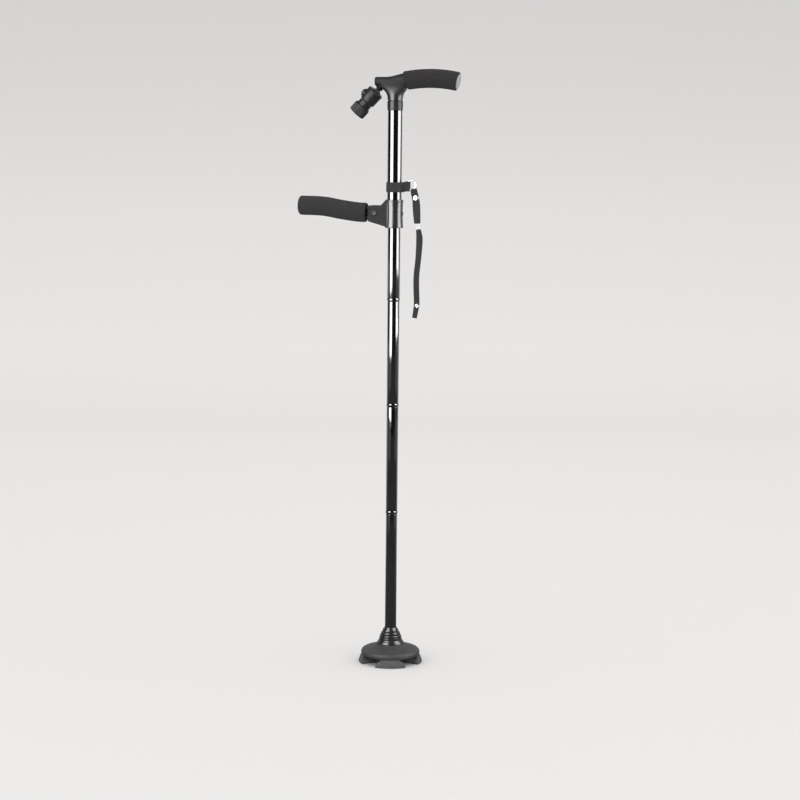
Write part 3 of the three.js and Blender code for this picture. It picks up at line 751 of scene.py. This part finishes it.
def build_ferrule(node, lower, upper):
    """Pressed into the section below, a rolled bead at the joint, a tapered spigot into the section above.
    The two numbers are the sections' outer radii."""
    low, high = size_of(node)
    bore, fit, bead = 3, 0.3, high.x + 0.1
    shank, spigot = lower - WALL - fit, upper - WALL - fit
    foot = low.z + 28
    top = foot + 5
    outline = [(bore, low.z), (shank, low.z), (shank, foot), (lower - fit, foot), (bead, foot + 1.3, 1.6),
               (bead, top - 1.3, 1.6), (upper - fit, top), (spigot, top), (spigot, high.z - 6, 1.5),
               (spigot - 1.2, high.z), (bore, high.z)]
    finished(turned(node + "_turned", rounded(outline, 0.35)), node, angle=50)


def build_cord():
    """The elastic runs through every section, in three parts."""
    low, high = size_of("elastic_cord")
    cuts = [low.z, 317, 480, high.z]  # each third's ends
    bodies = ("lower_shaft", "shaft_3", "shaft_2", "inner_shaft")
    for i, (foot, top) in enumerate(zip(cuts, cuts[1:])):
        line = [(0, 0, foot + (top - foot) * k / 60) for k in range(61)]
        part = swept(f"elastic_cord_{i + 1}", line, CORD_R, 20)
        blended(part, "elastic_cord", bodies[i])


def build_button():
    outline = [(0, 5.3), (4, 5.3), (4, 6.1), (3, 6.1), (3, 11.6, 1.2), (1.6, 12.9, 1.5), (0, 13)]
    button = turned("height_button_domed", rounded(outline, 0.15), 48)
    finished(placed(button, Vector((0, 0, BUTTON_Z * MM)), AXIS_Y), "height_button")


def build_button_spring():
    """A bent steel leaf: its back leg stays on the tube's wall and its front leg goes in with the button."""
    line = through([(4.55, 770), (4.55, 763), (1.6, 751.5), (-1.7, 741.3), (-4, 737.3), (-6.5, 741.2),
                    (-7.05, 750), (-7.1, 770)], 8)
    path = [(0, y, z) for y, z in line]
    spring = ribbon("button_spring_bent", path, [AXIS_X] * len(path), [2.4] * len(path), 0.3, False, 8.0)
    blended(spring, "button_spring", "inner_shaft", 50)


build_tubes()
for number, (upper_r, lower_r) in enumerate(zip(SECTION_R, SECTION_R[1:]), 1):
    build_ferrule(f"ferrule_{number}", lower_r, upper_r)
build_cord()
build_button()
build_button_spring()


# ---- base ----

LOBE_STEPS = [  # height, reach and half angle of a lobe's outline, with two fine steps round it
    (0, 48.0, 28.2), (0.5, 48.8, 28.5), (2.7, 48.75, 28.3), (3.0, 48.1, 27.8), (5.4, 47.6, 26.7),
    (8.0, 46.8, 25.2), (8.3, 45.9, 22.4), (9.3, 45.3, 20.8), (10.2, 45.05, 19.9), (11.0, 45, 19.5),
    (11.7, 45, 19.5), (12.0, 44.7, 19.3),
]
LOBE_FIRST = math.radians(15 - 90)
LOBE_CORNER = 1.4


def lobe_ring(z, reach, half, turn):
    half = math.radians(half)
    side = Vector((math.cos(half), math.sin(half)))
    corner = LOBE_CORNER / reach
    outline = [side * 16, side * 24, side * 36, side * (reach - LOBE_CORNER), side * (reach - 0.4)]
    outline += [Vector((math.cos(a), math.sin(a))) * reach
                for a in np.linspace(half - corner, corner - half, 25)]
    outline += [Vector((p.x, -p.y)) for p in reversed(outline[:5])]
    spin = Matrix.Rotation(turn, 2)
    return [(*(spin @ p), z) for p in outline]


def build_sole():
    tread = []
    for i in range(5):
        tread += [(4.2 * i + 2.2, 0.7), (4.2 * i + 2.4, 0), (4.2 * i + 4.0, 0), (4.2 * i + 4.2, 0.7)]
    hub = turned("sole_pad_moulded", [(0, 0.7)] + tread + [(24, 0.7), (24, 10.3), (0, 10.3)])
    lobes = []
    for i in range(4):
        turn = LOBE_FIRST + i * math.pi / 2
        lobes.append(loft("lobe", [lobe_ring(z, r, a, turn) for z, r, a in LOBE_STEPS]))
    join(hub, *lobes)
    cut(hub, drill(27.8, (0, 0, 10.3), AXIS_Z, 12, FINE))
    finished(hub, "sole_pad", angle=28)


def build_dome():
    outline = [
        (45, 12.3, 1.0), (45.2, 15.6, 3), (44.6, 18.0, 3), (43.0, 19.9, 3), (40.0, 21.3, 4), (35, 22.7, 5),
        (30, 23.9, 4), (25, 25.9, 3), (21.5, 28.2, 0.8), (21.5, 29.2), (14.6, 29.2), (14.6, 15), (27, 15),
        (28.5, 20), (40, 17.8), (42.5, 16.6), (42.5, 12.3),
    ]
    dome = turned("base_dome_moulded", rounded(outline, 0.3, 6), 160)
    finished(dome, "base_dome", angle=30, paint=satin_plastic("dome_plastic", (0.054, 0.053, 0.055), 0.55))


def build_boot():
    """Ringed rubber neck in two parts, split in a groove."""
    groove = [(14.2, 43.0, 0)]
    lower = [
        (20.8, 29.5, 0.3), (20.2, 30.7, 0.8), (19.5, 32.3, 1.2), (18.2, 33.8, 1.0), (17.5, 34.9, 0.5),
        (17.3, 36.6, 1.0), (16.9, 38.5, 0.4), (16.1, 38.9, 0.2), (16.6, 39.6, 0.4), (16.4, 41.1, 0.6),
        (15.5, 42.3, 0.5),
    ]
    upper = [
        (14.8, 43.6, 0.3), (14.8, 44.6, 0.5), (14.4, 45.7, 0.6), (13.3, 46.9, 0.5), (12.2, 47.3, 0.2),
        (12.5, 48.2, 0.5), (11.9, 50.2, 1.2), (10.5, 52.2, 1.2), (9.7, 53.2, 0.5), (9.4, 54.0, 0.3),
    ]
    split = [(12.2, 43.0, 0)]
    upper_bore = [(8.9, 54.0), (8.9, 51.2), (10.4, 48.6), (11.7, 45.8)]
    lower_bore = [(12.8, 41), (13.9, 37), (15.5, 29.5)]
    halves = (
        ("ankle_boot_lower", lower + groove + split + lower_bore, "base", "liner", 30, 43),
        ("ankle_boot_upper", groove + upper + upper_bore + split, "liner", "ankle_stud", 43, 50),
    )
    for name, outline, a, b, start, end in halves:
        part = turned(name, rounded(outline, 0.25, 5))
        blended(part, "ankle_boot", a, 60)


def build_plug():
    outline = [(3.8, 44.4), (8.6, 44.4), (8.6, 46.7), (7.25, 46.7), (7.25, 63, 0.6), (3.8, 63)]
    plug = turned("stem_plug_moulded", rounded(outline, 0.3))
    cut(plug, drill(1.5, (0, 4.2, 50.5), AXIS_Y, 20))
    finished(plug, "stem_plug")


build_sole()
build_dome()
build_boot()
build_plug()


# ---- handle ----

ARM_END = size_of("handle_head")[0].x
GRIP_R = 14.0
CORE_R, CORE_FIT = 8.0, 8.3  # a grip's core and its bore
TORCH_AXIS = Vector((-0.69, 0, -0.724)).normalized()
TORCH_UP = Vector((TORCH_AXIS.z, 0, -TORCH_AXIS.x))
TORCH_REAR = Vector((-29.7, 0, 871.3))
EAR_REACH = 2.9  # from the torch's rear face back to its tilt pin
TILT_PIN = TORCH_REAR - TORCH_AXIS * EAR_REACH


def ease(value, low, high):
    t = min(1.0, max(0.0, (value - low) / (high - low)))
    return t * t * (3 - 2 * t)


def main_line(start, end, steps):
    """The main grip's arched middle line, between two shares of its whole length."""
    a, b, c = Vector((5, 0, 885.3)), Vector((54, 0, 896.2)), Vector((99, 0, 885.5))
    shares = [start + (end - start) * i / steps for i in range(steps + 1)]
    return [a * (1 - t) ** 2 + b * (2 * t * (1 - t)) + c * t ** 2 for t in shares]


GRIP_SPAN = (0.118, 0.963)  # the share of the handle's line that the foam covers
GRIP_LEAN = math.radians(7)  # how much further the foam's inner end leans than its middle line asks for
GRIP_START = main_line(*GRIP_SPAN, 40)[0]
GRIP_FACE = Matrix.Rotation(-GRIP_LEAN, 3, "Y") @ (main_line(*GRIP_SPAN, 40)[1] - GRIP_START).normalized()


def arm_ring(x):
    along = ease(x, -14, 20)
    foot, crown = 879.4 - 3.4 * along, 893.2 + 6 * along
    half = 9.4 + 2.8 * ease(x, -24, 4)
    return [(x, a, (foot + crown) / 2 + b) for a, b in oval(half, (crown - foot) / 2, 48, 2.3)]


def stem_ring(reach, z):
    """A level of the stem: round at the parting line, then spreading along the arm only."""
    side = min(reach, 11.4 + 0.6 * ease(z, 860, 872))
    return [(a, b, z) for a, b in oval(reach, side, 64, 2.0 + 0.4 * ease(z, 864, 876))]


def build_head():
    arm = loft("handle_head_moulded", [arm_ring(ARM_END + (22 - ARM_END) * i / 40) for i in range(41)])
    levels = through([
        (11.3, 852), (11.3, 858), (11.5, 861.5), (12.1, 865), (13.4, 868.6), (15.8, 872), (19.4, 875.2),
        (24.5, 878.6), (25.5, 884), (20, 888)], 5)
    stem = loft("stem", [stem_ring(reach, z) for reach, z in levels])
    # under the grip the stem stops short of the foam
    cut(stem, block("trim", (16.2, -20, 850), (40, 20, 881)))
    head = fused("handle_head_moulded", [arm, stem], 0.7, 14)
    spigot = turned("spigot", rounded([(0, 825.6), (9.7, 825.6, 1), (9.7, 864), (0, 864)]))
    # a flat underside, a face for the foam, the stub's hole, a wider seat round its collar, the core's bore
    cut(head,
        block("below", (-40, -40, 840), (40, 40, 858.5)),
        drill(30, GRIP_START - GRIP_FACE * 0.3, GRIP_FACE, 40),
        drill(5, TILT_PIN - TORCH_AXIS * 14, TORCH_AXIS, 11),
        drill(5.9, TILT_PIN - TORCH_AXIS * 6.8, TORCH_AXIS, 5),
        swept("bore", main_line(0, 0.6, 20), CORE_FIT, 48))
    join(head, spigot)
    cut(head, drill(1.7, (0, 2.5, SCREW_Z), AXIS_Y, 12))
    finished(head, "handle_head", angle=32, paint=part_polished(
        "head_plastic", (0.024, 0.0235, 0.025), "Z", (0.880, 0.866), ("Roughness", 0.62, 0.3),
        ("Specular IOR Level", 0.12, 0.5)))


def travelled(line):
    """The length of a line of points up to each of them."""
    lengths = [0.0]
    for a, b in zip(line, line[1:]):
        lengths.append(lengths[-1] + (b - a).length)
    return lengths


def foam_tube(name, line, radius, left, right, bore, lean=0.0):
    """A foam sleeve whose two ends are rounded over the lengths left and right. Its first end may lean."""
    lengths = travelled(line)
    total = lengths[-1]

    def radius_at(distance):
        shrink = 0.0
        for away, corner in ((distance, left), (total - distance, right)):
            if away < corner:
                shrink += corner - math.sqrt(max(0.0, corner ** 2 - (corner - away) ** 2))
        return radius - shrink

    # the rings stand close together where the ends are rounded
    wanted = sorted(set(
        [total * i / 60 for i in range(61)] + [left * (1 - math.cos(math.pi * i / 16)) for i in range(9)]
        + [total - right * (1 - math.cos(math.pi * i / 16)) for i in range(9)]))
    places = []
    for distance in wanted:
        k = min(max(i for i, s in enumerate(lengths) if s <= distance + 1e-9), len(line) - 2)
        share = (distance - lengths[k]) / (lengths[k + 1] - lengths[k])
        places.append(line[k].lerp(line[k + 1], share))
    rings = []
    for i, (place, distance) in enumerate(zip(places, wanted)):
        tangent = tangent_at(places, i)
        up = tangent.cross(AXIS_Y).normalized()
        shear = math.tan(lean) * (1 - ease(distance, 0, 30))
        up += tangent * shear * up.dot(AXIS_Z) * -1
        rings.append(circle(place, AXIS_Y, up, radius_at(distance), FINE))
    return cut(loft(name, rings), bore)


def build_grip():
    line = main_line(*GRIP_SPAN, 60)
    grip = foam_tube("main_grip_foam", line, GRIP_R, 1.6, 1.2,
                     swept("bore", main_line(0, 1.06, 30), CORE_FIT, 64), GRIP_LEAN)
    finished(grip, "main_grip", angle=50)
    direction = (line[-1] - line[-2]).normalized()
    cap = [(0, 0), (11.2, 0), (11.2, 1.0, 0.6), (10.4, 1.5, 0.5), (9.6, 1.55, 0.2), (9.3, 1.3, 0.2), (0, 1.6)]
    disc = turned("grip_end_cap_moulded", rounded(cap, 0.2, 5))
    finished(placed(disc, (line[-1] + direction * 0.3) * MM, direction), "grip_end_cap")


def slotted_screw(node, head_r, start, direction, shank_r, shank, head_at, crown):
    """A small screw with a domed head and a driver slot."""
    top = head_at + crown
    outline = [(0, shank), (shank_r, shank), (shank_r, head_at), (head_r, head_at),
               (head_r * 0.9, head_at + crown * 0.6, 0.4), (0, top)]
    screw = turned(node + "_turned", rounded(outline, 0.15), 48)
    cut(screw, block("slot", (-head_r - 1, -0.35, head_at + crown * 0.45), (head_r + 1, 0.35, top + 1)))
    finished(placed(screw, Vector(start) * MM, direction), node)


def build_collar():
    outline = [(10, 843.8), (11.6, 843.8), (11.75, 850), (11.65, 857.4), (10.9, 858.0), (10, 858.0)]
    finished(turned("head_collar_moulded", rounded(outline, 0.45)), "head_collar")


build_head()
build_grip()
build_collar()
slotted_screw("head_screw", 2.8, (0, 0, SCREW_Z), AXIS_Y, 1.4, 3, 11.2, 1.2)


# ---- torch ----

def on_torch(obj):
    across = AXIS_Y.cross(TORCH_AXIS)
    basis = Matrix((across, AXIS_Y, TORCH_AXIS)).transposed().to_4x4()
    obj.data.transform(Matrix.Translation(TORCH_REAR * MM) @ basis)
    return obj


def ear(low, high):
    """A lug with a round end about the tilt pin that spreads out where it meets the tail cap."""
    spread = [(6.3, 0.6), (5.4, -1.4), (4.2, -2.8)]
    outline = spread + arc(0, -EAR_REACH, 2.8, -30, -150, 12) + [(-x, z) for x, z in reversed(spread)]
    return bevelled(slab("ear", outline, low, high), 0.3, 2)


def build_tail_cap():
    cap = turned("torch_tail_cap_moulded", rounded([
        (0, 0), (11.5, 0, 0.8), (12.7, 1.2, 0.6), (12.7, 2.2, 0.2), (12.35, 2.4, 0.2), (12.35, 2.8, 0.2),
        (12.7, 3.0, 0.2), (12.7, 4.7, 0.3), (0, 4.7)], 0.3))
    join(cap, ear(2.1, 4.3), ear(-4.3, -2.1))
    cut(cap, drill(1.3, (0, -8, -EAR_REACH), AXIS_Y, 16))
    finished(on_torch(cap), "torch_tail_cap")


def build_torch_body():
    body = turned("torch_body_moulded", rounded([
        (9.3, 5), (12.3, 5), (12.3, 8.2, 0.1), (12.0, 8.4, 0.1), (12.0, 8.8, 0.1), (12.3, 9.0, 0.1),
        (12.3, 17.6, 0.1), (12.0, 17.8, 0.1), (12.0, 18.2, 0.1), (12.3, 18.4, 0.1), (12.3, 19.6, 0.8),
        (10.2, 21.6, 0.8), (10.2, 24.6, 0.1), (9.8, 24.8, 0.1), (9.8, 25.3, 0.1), (10.2, 25.5, 0.1),
        (10.2, 28.8), (7.4, 28.8), (7.4, 26), (9.3, 24)], 0.25, 3))
    on_torch(body)
    side = TORCH_REAR + TORCH_AXIS * 13
    boss = [(0, 10.2), (6.6, 10.2), (6.3, 13.5, 0.9), (5.4, 14.3, 0.5), (0, 14.3)]
    join(body, placed(turned("boss", rounded(boss, 0.4), 64), side * MM, TORCH_UP))
    cut(body,
        drill(4.4, side + TORCH_UP * 8, TORCH_UP, 10),
        drill(9.28, TORCH_REAR + TORCH_AXIS * 6, TORCH_AXIS, 17.5, FINE))
    finished(body, "torch_body")
    button = turned("torch_button_moulded", rounded([
        (0, 11.2), (3.9, 11.2), (3.9, 15.3, 0.7), (3.0, 16.2, 0.8), (1.6, 16.25, 0.5), (0, 15.9)], 0.2), 64)
    finished(placed(button, side * MM, TORCH_UP), "torch_button")


def build_bezel():
    """Its ribs are waves of the turned wall."""
    bezel = turned("torch_bezel_moulded", rounded([
        (7.4, 29.1), (11.6, 29.1, 0.6), (12.2, 29.9, 0.4), (12.2, 31), (12.2, 31.4), (12.2, 43.0),
        (12.7, 43.3, 0.1), (12.75, 44, 0.3), (11, 44), (11, 32.6), (7.4, 32.6)], 0.2, 3), 240)
    ribs, rib_half, inside, rib_foot, rib_top = 30, 0.3, 12.1, 31.2, 43.1
    for vertex in bezel.data.vertices:
        reach = math.hypot(vertex.co.x, vertex.co.y) / MM
        if reach > inside and rib_foot < vertex.co.z / MM < rib_top:
            wave = math.cos(ribs * math.atan2(vertex.co.y, vertex.co.x))
            scale = (reach + rib_half + rib_half * max(-1.0, min(1.0, wave * 1.8))) / reach
            vertex.co.x *= scale
            vertex.co.y *= scale
    finished(on_torch(bezel), "torch_bezel")


def build_torch_inside():
    lens = [(0, 41.6), (10.7, 41.6), (10.7, 42.9), (9.6, 43.2), (0, 43.5)]
    finished(on_torch(turned("torch_lens_moulded", rounded(lens, 0.1))), "torch_lens")
    mirror = turned("torch_reflector_pressed", [
        (2.4, 35), (3.4, 35), (6.2, 36.4), (8.6, 38.4), (10.6, 41), (10.3, 41.25), (8.2, 38.7), (5.9, 36.8),
        (2.4, 35.7)])
    finished(on_torch(mirror), "torch_reflector")
    led = turned("torch_led_board", rounded([
        (0, 33), (10.4, 33), (10.4, 34.4), (1.9, 34.4), (1.9, 36.2, 0.8), (1, 37.3, 0.6), (0, 37.5)], 0.15), 64)
    finished(on_torch(led), "torch_led")
    for node, start in (("torch_cell_1", 11.4), ("torch_cell_2", 17.1)):
        cell = turned(node + "_case", rounded([
            (0, start), (4.6, start), (4.8, start + 0.3), (5.8, start + 0.4, 0.5), (5.8, start + 5.4, 0.4),
            (0, start + 5.4)], 0.15), 64)
        finished(on_torch(cell), node)


def build_torch_mount():
    pin = TILT_PIN * MM
    # black plastic made darker still: painted shade where the link sits between the tail cap and the head
    black = satin_plastic("link_black_painted_shade", (0.007, 0.007, 0.007), 0.62, 0.15)
    stub = turned("torch_stub_moulded", rounded([
        (0, -13.6), (4.7, -13.6), (4.7, -6.4), (5.7, -6.0), (5.7, -4.4), (1.9, -4.4), (1.9, -9),
        (0, -9)], 0.4), 64)
    finished(placed(stub, pin, TORCH_AXIS), "torch_stub", paint=black)
    disc = turned("torch_knuckle_moulded", rounded([
        (0, -8.4), (1.6, -8.4), (1.6, -4.1), (5.7, -4.1, 0.4), (5.5, -3.1, 0.4), (0, -2.9)], 0.2), 64)
    eye = turned("eye", rounded([(0, -1.8), (2.6, -1.8), (2.6, 1.8), (0, 1.8)], 0.3), 48)
    neck = slab("neck", [(-4.9, -3.2), (-3.3, -1.4), (-2.2, 0), (2.2, 0), (3.3, -1.4), (4.9, -3.2)], -1.8, 1.8)
    join(disc, placed(eye, Vector(), AXIS_Y), bevelled(neck, 0.25, 2))
    cut(disc, drill(1.3, (0, -5, 0), AXIS_Y, 10))
    finished(placed(disc, pin, TORCH_AXIS), "torch_knuckle", paint=black)
    tilt = turned("torch_tilt_pin_turned", rounded([(0, -4.5), (1, -4.5), (1, 4.5), (0, 4.5)], 0.25), 32)
    finished(placed(tilt, pin, AXIS_Y), "torch_tilt_pin", paint=black)


build_tail_cap()
build_torch_body()
build_bezel()
build_torch_inside()
build_torch_mount()


# ---- second handle ----

PIVOT = Vector((-28.7, 0, 691))
CHEEK_END, CHEEK_HALF = -38.4, 10.5
TONGUE_R, TONGUE_HALF, TONGUE_FIT, TONGUE_END = 9.0, 4.2, 0.4, -42.8
PIN_HOLE = 3.3


def build_sleeve():
    low, high = [corner.z for corner in size_of("handle_sleeve")]
    shell = turned("handle_sleeve_moulded", rounded([
        (0, low), (13.9, low, 0.8), (13.3, 674, 3), (12.9, 684, 5), (12.9, 697, 5), (13.3, 706, 3),
        (13.9, high, 0.8), (0, high)], 0.5, 6))
    outline = ([(-8, 669.5), (CHEEK_END, 678.1)] + arc(CHEEK_END + 3, PIVOT.z + 8, 3, 180, 90, 8)
               + [(-19, PIVOT.z + 11), (-12.5, 709), (-8, 710.4)])
    web = bevelled(slab("web", outline, -CHEEK_HALF, CHEEK_HALF), 0.8)
    sleeve = fused("handle_sleeve_moulded", [shell, web], 0.6, 5)
    reach = TONGUE_R + TONGUE_FIT
    slot = ([(-60, PIVOT.z - reach)] + arc(PIVOT.x, PIVOT.z, reach, -90, 0, 24)
            + [(PIVOT.x + reach, 730), (-60, 730)])
    trim = 0.15  # each rounded end is cut flat by this much
    # the tongue's slot, the tube's bore, the pin's hole, the screw's two holes, and two flat ends
    cut(sleeve,
        slab("slot", slot, -TONGUE_HALF - TONGUE_FIT, TONGUE_HALF + TONGUE_FIT),
        drill(11.3, (0, 0, 650), AXIS_Z, 80, FINE), drill(PIN_HOLE, (PIVOT.x, -20, PIVOT.z), AXIS_Y, 40),
        drill(1.8, (10, 0, 690), AXIS_X, 10), drill(3.2, (12.6, 0, 690), AXIS_X, 8),
        block("ends", (-30, -30, high - trim), (30, 30, high + 10)),
        block("ends", (-30, -30, low - 10), (30, 30, low + trim)))
    finished(sleeve, "handle_sleeve", angle=32, paint=part_polished(
        "bracket_plastic", (0.020, 0.0195, 0.0205), "X", (-0.0095, -0.0065), ("Roughness", 0.6, 0.26),
        ("Specular IOR Level", 0.12, 0.85)))
    slotted_screw("sleeve_screw", 2.9, (0, 0, 690), AXIS_X, 1.5, 11.4, 12.8, 1.1)
    bush = rounded([(9.9, 669.4), (11, 669.4), (11, 675.2), (9.9, 675.2)], 0.3)
    finished(turned("tube_bush_moulded", bush), "tube_bush")


def second_line(steps):
    """The second grip's middle line."""
    return [Vector(p) for p in through([
        (-42.7, 0, 691), (-58, 0, 691.6), (-84, 0, 695), (-112, 0, 699.4), (-149, 0, 700.4)], steps)]


def build_second_handle():
    outline = ([(TONGUE_END, PIVOT.z - TONGUE_R)] + arc(PIVOT.x, PIVOT.z, TONGUE_R, -90, 90, 48)
               + [(TONGUE_END, PIVOT.z + TONGUE_R)])
    core = bevelled(slab("second_handle_core_moulded", outline, -TONGUE_HALF, TONGUE_HALF), 0.6, 3, 30)
    cut(core, drill(PIN_HOLE, (PIVOT.x, -20, PIVOT.z), AXIS_Y, 40))
    inner = [p for p in second_line(12) if p.x > -142]
    heel = drill(8, (TONGUE_END + 0.2, 0, PIVOT.z), -AXIS_X, 3)
    join(core, swept("bar", inner, CORE_R, 48), heel)
    finished(core, "second_handle_core")
    line = second_line(14)
    bore = swept("bore", [Vector((-30, 0, 690.8))] + [p for p in line if p.x > -142.6], CORE_FIT, 64)
    grip = foam_tube("second_grip_foam", line, GRIP_R + 0.6, 2.6, 4.0, bore)
    # painted light: the same foam made lighter, so this grip looks more brightly lit than the main one
    finished(grip, "second_grip", angle=50, paint=foam("second_foam_painted_light", (0.038, 0.0355, 0.0365)))
    pin = turned("pivot_pin_turned", rounded([
        (0, -11.4), (1.3, -11.4, 0.3), (2.0, -12.0, 0.4), (3.2, -12.2, 0.6), (4.1, -11.5, 0.5), (4.2, -10.8),
        (3, -10.8), (3, 12.9), (0, 12.9)], 0.15), 64)
    finished(placed(pin, PIVOT * MM, AXIS_Y), "pivot_pin", slot="gloss_tube",
             paint=satin_plastic("blackened_pin", (0.012, 0.012, 0.012), 0.45, 0.5))
    hexagon = arc(PIVOT.x, PIVOT.z, 5.4, 0, 300, 5)
    nut = bevelled(slab("pivot_nut_turned", hexagon, 10.8, 13.7), 0.5)
    cut(nut, drill(PIN_HOLE, (PIVOT.x, 8, PIVOT.z), AXIS_Y, 8))
    finished(nut, "pivot_nut", slot="gloss_tube")


build_sleeve()
build_second_handle()


# ---- wrist strap ----

BAND_LOW, BAND_HIGH = 722.0, 737.0
RING_BAR_X = 22.5  # the D-ring's upright bar, on its own hinge line
LAYER = 0.6  # half the thickness of one layer of webbing
APART = LAYER + 0.08  # from the middle of a folded strap to the middle of each layer


def build_band():
    """Webbing round the tube whose two ends meet in a tab and fold over the D-ring's bar."""
    fold, loop = 1.75, 11.85
    half = [(RING_BAR_X + fold * math.cos(a), fold * math.sin(a)) for a in np.linspace(0, math.pi / 2, 7)]
    half += [(21.0, 1.25), (19.2, 0.72), (17, 0.66), (15.0, 0.8), (13.5, 1.7)]
    half += [(loop * math.cos(math.radians(a)), loop * math.sin(math.radians(a))) for a in range(20, 181, 8)]
    line = half + [(x, -y) for x, y in reversed(half[1:])]
    middle = (BAND_LOW + BAND_HIGH) / 2
    path = [(x, y, middle + 1.5 * ease(x, 11, 20)) for x, y in line]
    half_height = (BAND_HIGH - BAND_LOW) / 2
    band = ribbon("strap_band_woven", path, [AXIS_Z] * len(path), [half_height] * len(path), 0.55, True, 5.0)
    finished(band, "strap_band", angle=55)


def build_ring():
    bar = RING_BAR_X
    path = [(bar, 0, 727.0), (bar, 0, 732.5), (bar, 0, 738), (25.6, 0, 739.7), (29.8, 0, 738.8),
            (32.1, 0, 734.6), (32.1, 0, 729.6), (30.4, 0, 726.4), (26.6, 0, 725.5)]
    finished(wire("strap_d_ring_bent", path, 1.1), "strap_d_ring", angle=0)


def layered(name, line, halves, top_wrap, foot_close):
    """Two layers of webbing that fold over a bar at the top, lie together, and are sewn shut at the foot.
    The line runs down the middle as (x, z) points."""
    spine = through([(x, z, h) for (x, z), h in zip(line, halves)], 6)
    places = [Vector((x, 0, z)) for x, z, h in spine]
    lengths = travelled(places)
    front, back = [], []
    for i, place in enumerate(places):
        bulge = top_wrap * (1 - ease(lengths[i], 0, 9))
        nip = foot_close * (1 - ease(lengths[-1] - lengths[i], 0, 6))
        away = APART + bulge + nip
        front.append((place - AXIS_Y * away, spine[i][2], i))
        back.append((place + AXIS_Y * away, spine[i][2], i))
    reach = APART + top_wrap
    up = (places[0] - places[1]).normalized()
    fold = []
    for angle in np.linspace(math.pi, 0, 11)[1:-1]:
        place = places[0] + AXIS_Y * (reach * math.cos(angle)) + up * (reach * math.sin(angle))
        fold.append((place, halves[0], 0))
    stations = list(reversed(front)) + fold + back
    across = [tangent_at(places, i).cross(AXIS_Y) for _, _, i in stations]
    return ribbon(name, [s[0] for s in stations], across, [s[1] for s in stations], LAYER, False, 2.6)


def dome_rivet(node, x, z, radius, eyelet):
    """A pressed rivet: a bright cap in front and a plain washer behind."""
    if eyelet:
        cap = [(0, 1.5), (radius, 1.5, 0.2), (radius - 0.3, 2.2, 0.4), (radius * 0.65, 2.6, 0.5),
               (radius * 0.4, 1.9, 0.3), (0, 1.75)]
    else:
        cap = [(0, 1.5), (radius, 1.5, 0.2), (radius - 0.3, 2.0, 0.5), (radius * 0.6, 2.6, 1.2), (0, 2.7)]
    front = turned(node + "_pressed", rounded(cap, 0.2, 5), 64)
    washer = [(0, -1.5), (radius * 0.85, -1.5), (radius * 0.8, -1.9, 0.3), (0, -2.0)]
    gathered(front, turned("washer", rounded(washer, 0.15), 64))
    finished(placed(front, Vector((x, 0, z)) * MM, -AXIS_Y), node)


def build_straps():
    upper = [(30.0, 725.6), (31.2, 720), (33.2, 712), (34.3, 702), (35.0, 690), (35.7, 680), (36.0, 675.6)]
    finished(layered("strap_upper_woven", upper, [4.6, 5.2, 5.3, 5.7, 5.5, 4.9, 4.4], 1.1, 0.35),
             "strap_upper", angle=60)
    lower = [(38.0, 665.2), (38.9, 660), (39.6, 652), (39.0, 636), (37.6, 618), (35.4, 596), (35.6, 574),
             (36.3, 556), (35, 545), (33, 533.5)]
    finished(layered("strap_lower_woven", lower, [3.5, 4.2, 4.9, 4.6, 4.3, 4.3, 4.3, 4.2, 3.9, 3.5], 0.6, 0.0),
             "strap_lower", angle=60)
    link = [(34.1, 0, 676.6), (35.9, 0, 677.2), (37.6, 0, 676.4), (38.7, 0, 670.6), (39.9, 0, 665.2),
            (38.2, 0, 664.2), (36.3, 0, 664.8), (35.2, 0, 670.8)]
    finished(wire("strap_link_bent", link, 0.45), "strap_link", angle=0,
             paint=bright_metal("link_wire", 0.38, 0.34))
    dome_rivet("rivet_top", 33.6, 713.5, 4.4, False)
    dome_rivet("rivet_bottom", 37, 552, 3.2, True)


def stitches(name, rows, body):
    """Rows of short thread loops that lie on a strap: each row is (start, end) in millimetres."""
    spacing = 2.2
    points, faces = [], []
    for start, end in rows:
        start, end = Vector(start), Vector(end)
        along = (end - start).normalized()
        up = Vector((0, math.copysign(1, start.y), 0))
        side = along.cross(up)
        count = max(1, int((end - start).length / spacing))
        for i in range(count):
            middle = start.lerp(end, (i + 0.5) / count)
            first = len(points)
            for share, radius in ((-1, 0.0), (-0.7, 0.2), (0, 0.28), (0.7, 0.2), (1, 0.0)):
                for k in range(8):
                    angle = 2 * math.pi * k / 8
                    ring = side * (radius * math.cos(angle)) + up * (radius * math.sin(angle))
                    arch = up * (0.16 * (1 - share ** 2))
                    points.append(middle + along * (share * spacing * 0.38) + ring + arch)
            for r in range(4):
                a = first + 8 * r
                faces += [(a + k, a + (k + 1) % 8, a + 8 + (k + 1) % 8, a + 8 + k) for k in range(8)]
    thread = mesh_object(name, points, faces)
    finished(thread, slot="webbing", body=body, angle=60)


build_band()
build_ring()
build_straps()
stitches("strap_band_stitches", [
    ((14.6, y, z), (19.6, y, z + 0.4)) for y in (-1.28, 1.28) for z in (724.6, 736.6)] + [
    ((x, y, 725.4), (x, y, 736.4)) for y in (-1.28, 1.28) for x in (14.8, 19.2)], "upper")
